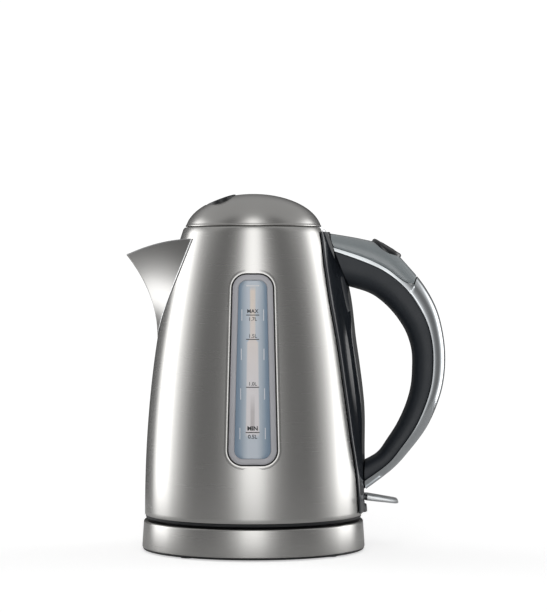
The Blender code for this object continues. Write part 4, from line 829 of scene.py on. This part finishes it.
def dome_profile(inset, start, steps):
    """(radius, height) points from a start height up to the dome's middle."""
    centre = SEAM_Z - LID_SINK
    height = LID_RISE + LID_SINK - inset
    first = math.asin((start - centre) / height)
    points = []
    for i in range(steps):
        z = centre + height * math.sin(first + (math.pi / 2 - first) * i / steps)
        points.append((dome_radius(z, inset), z))
    return points + [(0.0, centre + height)]


def pad_ring(grow, height):
    """The thumb pad's oval, grown by a margin and lifted off the dome."""
    share = PAD_RADIAL / LID_FULL_R
    z = SEAM_Z - LID_SINK + (LID_RISE + LID_SINK) * math.sqrt(1 - share ** 2) - PAD_SINK
    centre = Vector((-PAD_RADIAL, 0.0, z))
    along = Vector((math.cos(PAD_SLOPE), 0.0, math.sin(PAD_SLOPE)))
    out = Vector((-math.sin(PAD_SLOPE), 0.0, math.cos(PAD_SLOPE)))
    return [centre + along * ((PAD_LENGTH / 2 + grow) * a)
            + Vector((0.0, (PAD_WIDTH / 2 + grow) * b, 0.0)) + out * height
            for a, b in circle(1.0, PAD_SIDES)]


def make_lid():
    """The lid's dome with a rolled rim, and the black oval thumb pad let into it."""
    rim = [(radius, SEAM_Z + rise) for radius, rise in
           in_mm((46.75, 0.0), (47.2, 0.1), (47.42, 0.4), (47.42, 0.8), (47.2, 1.1))]
    outside = rim + dome_profile(0.0, SEAM_Z + 1.5 * MM, 48)
    inside = dome_profile(LID_WALL, SEAM_Z, 24)
    shell = piece("lid_dome", turned_mesh(outside + inside[::-1]), DOME, ["lid_shell"], "lid")
    carve(shell, tool(loft_mesh([pad_ring(GAP, -8 * MM), pad_ring(GAP, 8 * MM)])))
    section = in_mm((0.0, -4.0), (0.0, -1.0), (-0.15, -0.5), (-0.5, -0.12), (-1.0, 0.0),
                    (-1.9, -0.06), (-3.2, -0.36), (-5.5, -0.75), (-8.5, -0.95))
    piece("thumb_pad", loft_mesh([pad_ring(*row) for row in section]), BLACK, ["lid_thumb_pad"],
          "lid")


# ---- Spine -----------------------------------------------------------------------------
# Shares of the spine's height, with millimetres.
SPINE_HALF = [(0.0, 22.5), (0.12, 26.5), (0.3, 35.0), (0.5, 38.0), (0.72, 37.0), (0.88, 30.5),
              (1.0, 19.5)]
SPINE_RIDGE = [(0.0, 3.8), (0.06, 2.8), (0.18, 2.8), (0.4, 4.9), (0.6, 4.6), (0.8, 6.6),
               (1.0, 3.7)]
# Shares of the half width, with the flange's rise in millimetres.
SPINE_FLANGE = [(-1.0, 0.75), (-0.995, 1.0), (-0.98, 1.3), (-0.95, 1.5), (-0.85, 1.68),
                (-0.72, 1.88), (-0.62, 2.1), (-0.585, 2.3), (-0.54, 2.9), (-0.505, 3.4),
                (-0.47, 3.75)]


def spine_value(table, z):
    return MM * smooth_value((z - SPINE_FOOT_Z) / (SPINE_TOP_Z - SPINE_FOOT_Z), table)


def spine_section(z):
    """The spine's outline at a height: a flange each side of a ridge with soft shoulders."""
    radius = wall_radius(z)
    ridge = spine_value(SPINE_RIDGE, z)
    half = spine_value(SPINE_HALF, z) / radius
    crest = [(share, ridge - 0.5 * MM * (share / 0.4) ** 2)
             for share in steps_between(-0.42, 0.42, 14)]
    left = [(share, min(rise * MM, ridge - 0.55 * MM)) for share, rise in SPINE_FLANGE]
    right = [(-share, rise) for share, rise in reversed(left)]
    back = [(share, 0.6 * MM) for share in steps_between(1.0, -1.0, 16)]
    return [((radius + rise) * math.cos(half * share), (radius + rise) * math.sin(half * share), z)
            for share, rise in left + crest + right + back]


def make_spine():
    """The black spine on the wall, open at the hinge, lever and latch."""
    rings = [spine_section(z) for z in steps_between(SPINE_FOOT_Z, SPINE_TOP_Z, 80)]
    spine = piece("spine_cover", loft_mesh(rings), GLOSS, ["handle_spine"], angle=35.0)
    latch_slot = in_mm((45.0, -4.0, 214.6), (66.0, 4.0, 219.6))
    carve(spine, hinge_notch(), lever_slot(), box_tool(*latch_slot), angle=35.0)


def make_spine_cheeks():
    """The two ends of the spine's top, each side of the lid's hinge."""
    near, far = 14.3 * MM, 15.7 * MM
    rises = [(CHEEK_FOOT_Z, 1.2 * MM)]
    rises += [(z, spine_value(SPINE_RIDGE, z) - 0.1 * MM) for z in (CHEEK_BEND_Z, SPINE_TOP_Z)]
    for side, word in ((-1, "front"), (1, "back")):
        rings = []
        for z in steps_between(CHEEK_FOOT_Z, SPINE_TOP_Z, 24):
            inner, outer = wall_radius(z) + 0.4 * MM, wall_radius(z) + smooth_value(z, rises)
            left = math.sqrt(inner * inner - near * near)
            right = math.sqrt(outer * outer - far * far)
            rings.append([(left, side * near, z), (right, side * near, z), (right, side * far, z),
                          (left, side * far, z)])
        piece(f"spine_cheek_{word}", loft_mesh(rings), GLOSS)


# ---- Handle ----------------------------------------------------------------------------
# One row a station: the inner edge's height and reach and the outer edge's height and reach,
# as shares of the handle's; the half width in millimetres; and the shares of the thickness at
# which the grip and the bright strip end.
STATIONS = [(0.797, 0.015, 1.002, 0.000, 18.5, 0.655, 0.735),
            (0.767, 0.277, 0.977, 0.373, 17.0, 0.560, 0.650),
            (0.733, 0.410, 0.945, 0.628, 15.8, 0.530, 0.605),
            (0.682, 0.521, 0.862, 0.797, 15.0, 0.585, 0.690),
            (0.625, 0.599, 0.784, 0.913, 14.6, 0.580, 1.000),
            (0.577, 0.633, 0.696, 0.986, 14.4, 0.592, 1.000),
            (0.530, 0.643, 0.598, 1.006, 14.2, 0.598, 1.000),
            (0.474, 0.627, 0.508, 0.991, 14.0, 0.594, 1.000),
            (0.400, 0.590, 0.413, 0.940, 14.0, 0.590, 1.000),
            (0.328, 0.520, 0.326, 0.852, 14.0, 0.585, 1.000),
            (0.252, 0.412, 0.234, 0.718, 14.0, 0.590, 1.000),
            (0.187, 0.290, 0.148, 0.535, 14.2, 0.600, 1.000),
            (0.134, 0.176, 0.068, 0.328, 14.6, 0.615, 1.000),
            (0.098, 0.000, -0.022, 0.000, 15.0, 0.630, 1.000)]
LAST_PLACE = len(STATIONS) - 1.0
SQUARE = 2.6                    # how square the handle's section is; 2 is an ellipse
SECTION_END = 0.004             # least share of the thickness that a section is cut at


def station(place):
    """A row of STATIONS at any place, on a smooth curve through the rows."""
    i = min(int(place), len(STATIONS) - 2)
    t = place - i
    before = STATIONS[max(i - 1, 0)]
    after = STATIONS[min(i + 2, len(STATIONS) - 1)]
    return [0.5 * (2 * p1 + (p2 - p0) * t + (2 * p0 - 5 * p1 + 4 * p2 - p3) * t * t
                   + (3 * p1 - p0 - 3 * p2 + p3) * t ** 3)
            for p0, p1, p2, p3 in zip(before, STATIONS[i], STATIONS[i + 1], after)]


def stations(start, end, count):
    return [station(place) for place in steps_between(start, end, count)]


def station_frame(row):
    """A row's inner point, direction outwards, thickness and half width."""
    span = HANDLE_TOP_Z - HANDLE_FOOT_Z
    z_in, z_out = HANDLE_FOOT_Z + row[0] * span, HANDLE_FOOT_Z + row[2] * span
    inner = Vector((wall_radius(z_in) + row[1] * HANDLE_REACH, 0.0, z_in))
    outer = Vector((wall_radius(z_out) + row[3] * HANDLE_REACH, 0.0, z_out))
    across = outer - inner
    return inner, across.normalized(), across.length, row[4] * MM


def handle_section(row, start, end):
    """A rounded cross-section between two shares of the thickness, with softened corners."""
    inner, across, depth, half = station_frame(row)
    first = math.acos(1 - 2 * max(start, SECTION_END))
    last = math.acos(1 - 2 * min(end, 1 - SECTION_END))
    side = []
    for angle in steps_between(first, last, 22):
        share = (1 - math.cos(angle)) / 2
        side.append([share * depth, half * (1 - abs(math.cos(angle)) ** SQUARE) ** (1 / SQUARE)])
    fall, tuck = 0.15 * HANDLE_CORNER, 0.3 * HANDLE_CORNER
    if start > SECTION_END:
        run, width = side[0]
        side[0:1] = [[run, width - HANDLE_CORNER], [run + fall, width - tuck]]
    if end < 1 - SECTION_END:
        run, width = side[-1]
        side[-1:] = [[run - fall, width - tuck], [run, width - HANDLE_CORNER]]
    side = [p for p in side if p[1] > 0.0]
    ring = [inner + across * a + Vector((0.0, b, 0.0)) for a, b in side]
    return ring + [inner + across * a + Vector((0.0, -b, 0.0)) for a, b in reversed(side)]


def cover_section(row):
    """The cover's cross-section: it tucks in towards its lower edge."""
    ring = handle_section(row, row[6], 1.0)
    inner, across, depth, _ = station_frame(row)
    made = []
    for point in ring:
        rise = (point - inner).dot(across) / depth
        tuck = max(0.0, 1.0 - (rise - row[6]) / (0.55 * (1.0 - row[6]))) ** 2
        made.append(Vector((point.x, point.y * (1.0 - 0.11 * tuck), point.z)))
    return made


def outer_point(place):
    inner, across, depth, _ = station_frame(station(place))
    return inner + across * depth


def button_ring(grow, height, droop=0.0):
    """The button's oval, lifted off the cover; droop lets its ends and sides fall."""
    middle = outer_point(BUTTON_PLACE)
    along = (outer_point(BUTTON_PLACE + 0.5) - outer_point(BUTTON_PLACE - 0.5)).normalized()
    out = Vector((-along.z, 0.0, along.x))
    ring = []
    for a, b in circle(1.0, BUTTON_SIDES):
        run = (BUTTON_LENGTH / 2 + grow) * a
        side = (BUTTON_WIDTH / 2 + grow) * b
        fall = droop * (run / (BUTTON_LENGTH / 2)) ** 2
        if droop:
            fall += BUTTON_SIDE_DROOP * (abs(side) / (BUTTON_WIDTH / 2)) ** SQUARE
        ring.append(middle + along * run + Vector((0.0, side, 0.0)) + out * (height - fall))
    return ring


def spine_clearance():
    """A tool that keeps the handle's pieces off the spine."""
    turns = [math.radians(a) for a in range(-40, 41, 4)]
    rings = []
    for z in steps_between(SPINE_FOOT_Z - MM, SPINE_TOP_Z + 3 * MM, 60):
        level = min(max(z, SPINE_FOOT_Z), SPINE_TOP_Z)
        near = wall_radius(level) * 0.8
        far = wall_radius(level) + spine_value(SPINE_RIDGE, level) + GAP
        rings.append([(near * math.cos(a), near * math.sin(a), z) for a in turns]
                     + [(far * math.cos(a), far * math.sin(a), z) for a in reversed(turns)])
    return tool(loft_mesh(rings))


def resample(ring, total):
    """A ring with a given number of points, evenly along it."""
    if len(ring) == total:
        return ring
    lengths = [0.0]
    for a, b in zip(ring, ring[1:]):
        lengths.append(lengths[-1] + (b - a).length)
    made = []
    for i in range(total):
        target = lengths[-1] * i / (total - 1)
        k = max(j for j in range(len(lengths)) if lengths[j] <= target + 1e-12)
        k = min(k, len(ring) - 2)
        span = lengths[k + 1] - lengths[k]
        made.append(ring[k].lerp(ring[k + 1], (target - lengths[k]) / span if span else 0.0))
    return made


def handle_piece(name, rings, material, node, *tools):
    """A lofted piece of the handle, cut clear of the spine."""
    made = piece(name, loft_mesh(rings), material, [node], angle=40.0)
    carve(made, spine_clearance(), *tools, angle=40.0)


def make_handle():
    """Soft grip inside; outside it the silver shell, whose strip runs on under the cover."""
    def gap(row):
        return GAP / station_frame(row)[2]

    rings = [handle_section(row, 0.0, row[5] - gap(row)) for row in stations(0.0, LAST_PLACE, 130)]
    handle_piece("grip_inner", rings, GRIP, "handle_grip")
    strip = [handle_section(row, row[5], row[6] - gap(row))
             for row in stations(0.0, COVER_END - COVER_STEP, 36)]
    outer = [handle_section(row, row[5], 1.0) for row in stations(COVER_END, LAST_PLACE, 96)]
    total = max(len(strip[0]), len(outer[0]))
    handle_piece("outer_shell", [resample(ring, total) for ring in strip + outer], SATIN,
                 "handle_outer_shell")
    rings = [cover_section(row) for row in stations(0.0, COVER_END - 2 * COVER_STEP, 36)]
    shaft = tool(loft_mesh([button_ring(GAP, -12 * MM), button_ring(GAP, 9 * MM)]))
    handle_piece("top_cover", rings, SMOKE, "handle_top_cover", shaft)
    low = -5.4 * MM
    rings = [button_ring(-3.0 * MM, -3.0 * MM), button_ring(-2.6 * MM, low), button_ring(0.0, low)]
    crown = in_mm((0.0, 0.6), (0.15, 0.95), (0.5, 1.25), (0.9, 1.4), (1.4, 1.45), (2.2, 1.35),
                  (3.4, 1.05), (5.0, 0.85), (7.0, 0.8))
    rings += [button_ring(-inset, height, BUTTON_DROOP) for inset, height in crown]
    piece("button_cap", loft_mesh(rings), BUTTON, ["release_button"], "release_button")


# One row a section: run in millimetres, share of the width, half thickness in millimetres.
LEVER_TABLE = [(-3.5, 0.5, 0.8), (-2.0, 0.5, 1.7), (0.0, 0.5, 2.1), (2.0, 0.5, 2.1),
               (4.0, 0.72, 2.1), (5.0, 0.92, 2.1), (8.0, 0.96, 2.0), (12.0, 0.98, 1.85),
               (16.0, 0.98, 1.7), (20.0, 0.98, 1.55), (23.5, 0.97, 1.42), (25.5, 0.94, 1.3),
               (26.5, 0.90, 1.0), (27.0, 0.84, 0.45)]


def make_lever():
    pivot = lever_pivot()
    slope = Vector((math.cos(LEVER_DROOP), 0.0, -math.sin(LEVER_DROOP)))
    up = Vector((math.sin(LEVER_DROOP), 0.0, math.cos(LEVER_DROOP)))
    rings = []
    for run, width, rise in LEVER_TABLE:
        half = LEVER_WIDTH / 2 * width
        ring = []
        for c, s in circle(1.0, 40):
            a = half * math.copysign(abs(c) ** 0.16, c)
            b = rise * MM * math.copysign(abs(s) ** 0.5, s)
            ring.append(pivot + slope * (run * MM) + Vector((0.0, a, 0.0)) + up * b)
        rings.append(ring)
    lever = piece("switch_paddle", loft_mesh(rings), LIT_PADDLE_SILVER, ["switch_lever"], "switch_lever",
                  angle=40.0)
    reach = Vector((0.0, 20 * MM, 0.0))
    carve(lever, rod_tool(pivot - reach, pivot + reach, 1.4 * MM), angle=40.0)


# ---- Power base ------------------------------------------------------------------------
def make_skirt():
    edge = BASE_TOP_R - BASE_CORNER
    lip = edge - 6.0 * MM
    under = BASE_TOP_Z - SKIRT_WALL
    side = [(BASE_R - inset, SKIRT_FOOT_Z + rise)
            for inset, rise in in_mm((0.35, 0.0), (0.05, 0.3), (0.02, 0.8))]
    corner = arc_points((edge, BASE_TOP_Z - BASE_CORNER), BASE_CORNER, 4, 86, 10)
    inside = [(edge - MM, BASE_TOP_Z), (lip, BASE_TOP_Z), (lip, under), (edge - 0.2 * MM, under),
              (BASE_TOP_R - SKIRT_WALL, BASE_TOP_Z - 2 * SKIRT_WALL),
              (BASE_R - SKIRT_WALL, SKIRT_FOOT_Z)]
    ring = piece("base_skirt", turned_mesh(side + corner + inside), STEEL, ["base_trim_ring"],
                 "power_base")
    carve(ring, cord_hole(60 * MM))


def cord_hole(start):
    return rod_tool((0, start, CORD_HOLE_Z), (0, 90 * MM, CORD_HOLE_Z), CORD_HOLE_R)


def make_underside_plate():
    """The black underside with a trough around it, and its holes for feet and screws."""
    z, wall = 1.0 * MM, 2.4 * MM
    floor = z + wall
    cup = BASE_TOP_R - SKIRT_WALL - 4 * GAP
    flange = BASE_R - 0.6 * MM
    top = BASE_TOP_Z - SKIRT_WALL - GAP - 2.6 * MM - GAP
    near, far, rise = 30 * MM, 58 * MM, 11 * MM
    trough = rise + wall * 0.7
    profile = [(0.0, z), (near, z), (near, rise), (far, rise), (far, z), (flange - 0.4 * MM, z),
               (flange, z + 0.4 * MM), (flange, SKIRT_FOOT_Z - GAP), (cup, SKIRT_FOOT_Z - GAP),
               (cup, top), (cup - 1.6 * MM, top), (cup - 1.6 * MM, floor), (far + wall, floor),
               (far + wall, trough), (near - wall, trough), (near - wall, floor), (0.0, floor)]
    plate = piece("base_underside", turned_mesh(profile), BLACK, ["base_underside_plate"],
                  "power_base")
    feet = rods_around((50.0, 140.0, 230.0, 320.0), 68 * MM, -MM, 2.6 * MM, 5.9 * MM)
    screws = rods_around((14.0, 134.0, 254.0), 20.5 * MM, 0.0, 5 * MM, 2.5 * MM)
    carve(plate, cord_hole(68 * MM), *feet, *screws)


# ---- Stage -----------------------------------------------------------------------------
def make_stage():
    """A round pale floor: near white to the camera, and duller in the steel's reflections."""
    bm = bmesh.new()
    middle = bm.verts.new((0.0, 0.0, 0.0))
    rim = [bm.verts.new((x, y, 0.0)) for x, y in circle(0.42, 96)]
    for a, b in zip(rim, rim[1:] + rim[:1]):
        bm.faces.new((middle, a, b))
    mesh = make_mesh("floor", bm)
    floor = add_object("floor", mesh)
    paper = bpy.data.materials.new("paper")
    tree = Tree(paper)
    tree.tree.nodes.clear()
    dull = tree.add("ShaderNodeBsdfDiffuse", Color=(0.62, 0.62, 0.62, 1.0))
    white = tree.add("ShaderNodeBsdfDiffuse", Color=(0.9, 0.9, 0.9, 1.0))
    glow = tree.add("ShaderNodeEmission", Strength=0.55)
    both = tree.add("ShaderNodeAddShader")
    tree.link(white.outputs[0], both.inputs[0])
    tree.link(glow.outputs[0], both.inputs[1])
    tree.show("ShaderNodeOutputMaterial", dull.outputs[0], both.outputs[0])
    mesh.materials.append(paper)


# The studio's brightness by angle in degrees, from the front (0) round either side to the
# back (180), and overhead.
AROUND = [(0.0, 1.75), (8.0, 1.60), (18.0, 0.72), (29.0, 0.30), (42.0, 0.19), (60.0, 0.18),
          (72.0, 0.27), (83.0, 0.62), (94.0, 1.20), (104.0, 2.50), (121.0, 2.80), (128.0, 1.60),
          (135.0, 0.20), (180.0, 0.05)]
OVERHEAD = 0.42


def make_light():
    """A studio as a soft environment: pale panels around, dark between them, grey overhead."""
    world = bpy.data.worlds.new("studio")
    bpy.context.scene.world = world
    tree = Tree(world)
    tree.tree.nodes.clear()
    x, y, z = tree.split(tree.add("ShaderNodeTexCoord").outputs["Generated"])
    turn = tree.math("ABSOLUTE", tree.math("ARCTAN2", x, tree.math("MULTIPLY", y, -1.0)))
    ramp = tree.add("ShaderNodeValToRGB")
    ramp.color_ramp.interpolation = "EASE"
    peak = max(value for _, value in AROUND)
    points = ramp.color_ramp.elements
    while len(points) > 1:
        points.remove(points[0])
    for i, (angle, value) in enumerate(AROUND):
        element = points[0] if i == 0 else points.new(angle / 180.0)
        element.position = angle / 180.0
        element.color = (value / peak, value / peak, value / peak, 1.0)
    tree.link(tree.math("DIVIDE", turn, math.pi), ramp.inputs[0])
    around = tree.math("MULTIPLY", ramp.outputs[0], peak)
    high = tree.spread(z, 0.0, 1.0, 0.80, 0.97)
    behind = tree.spread(turn, 0.0, 1.0, math.radians(50.0), math.radians(85.0))
    back = tree.math("MULTIPLY", behind, tree.spread(z, 0.0, 1.0, 0.30, 0.58))
    over = tree.add("ShaderNodeMix", data_type="FLOAT")
    tree.link(tree.math("MAXIMUM", high, back), over.inputs[0])
    tree.link(around, over.inputs[2])
    over.inputs[3].default_value = OVERHEAD
    studio = tree.add("ShaderNodeBackground", Color=(1.0, 1.0, 1.0, 1.0))
    tree.link(over.outputs[0], studio.inputs["Strength"])
    plain = tree.add("ShaderNodeBackground", Color=(1.0, 1.0, 1.0, 1.0), Strength=1.05)
    tree.show("ShaderNodeOutputWorld", studio.outputs[0], plain.outputs[0])


def make_camera():
    data = bpy.data.cameras.new("camera")
    data.lens = 138.7
    data.sensor_width = 36.0
    data.clip_start = 0.05
    camera = add_object("camera", data)
    camera.location = (0.014, -1.65, 0.190)
    camera.rotation_euler = (math.pi / 2 - math.radians(0.69), 0.0, 0.0)
    bpy.context.scene.camera = camera
    bpy.context.scene.view_settings.view_transform = "Standard"


make_camera()
dress_frame()
make_wall()
make_window()
make_marks()
make_underside()
make_spout()
make_lid()
make_spine()
make_spine_cheeks()
make_handle()
make_lever()
make_skirt()
make_underside_plate()
make_stage()
make_light()
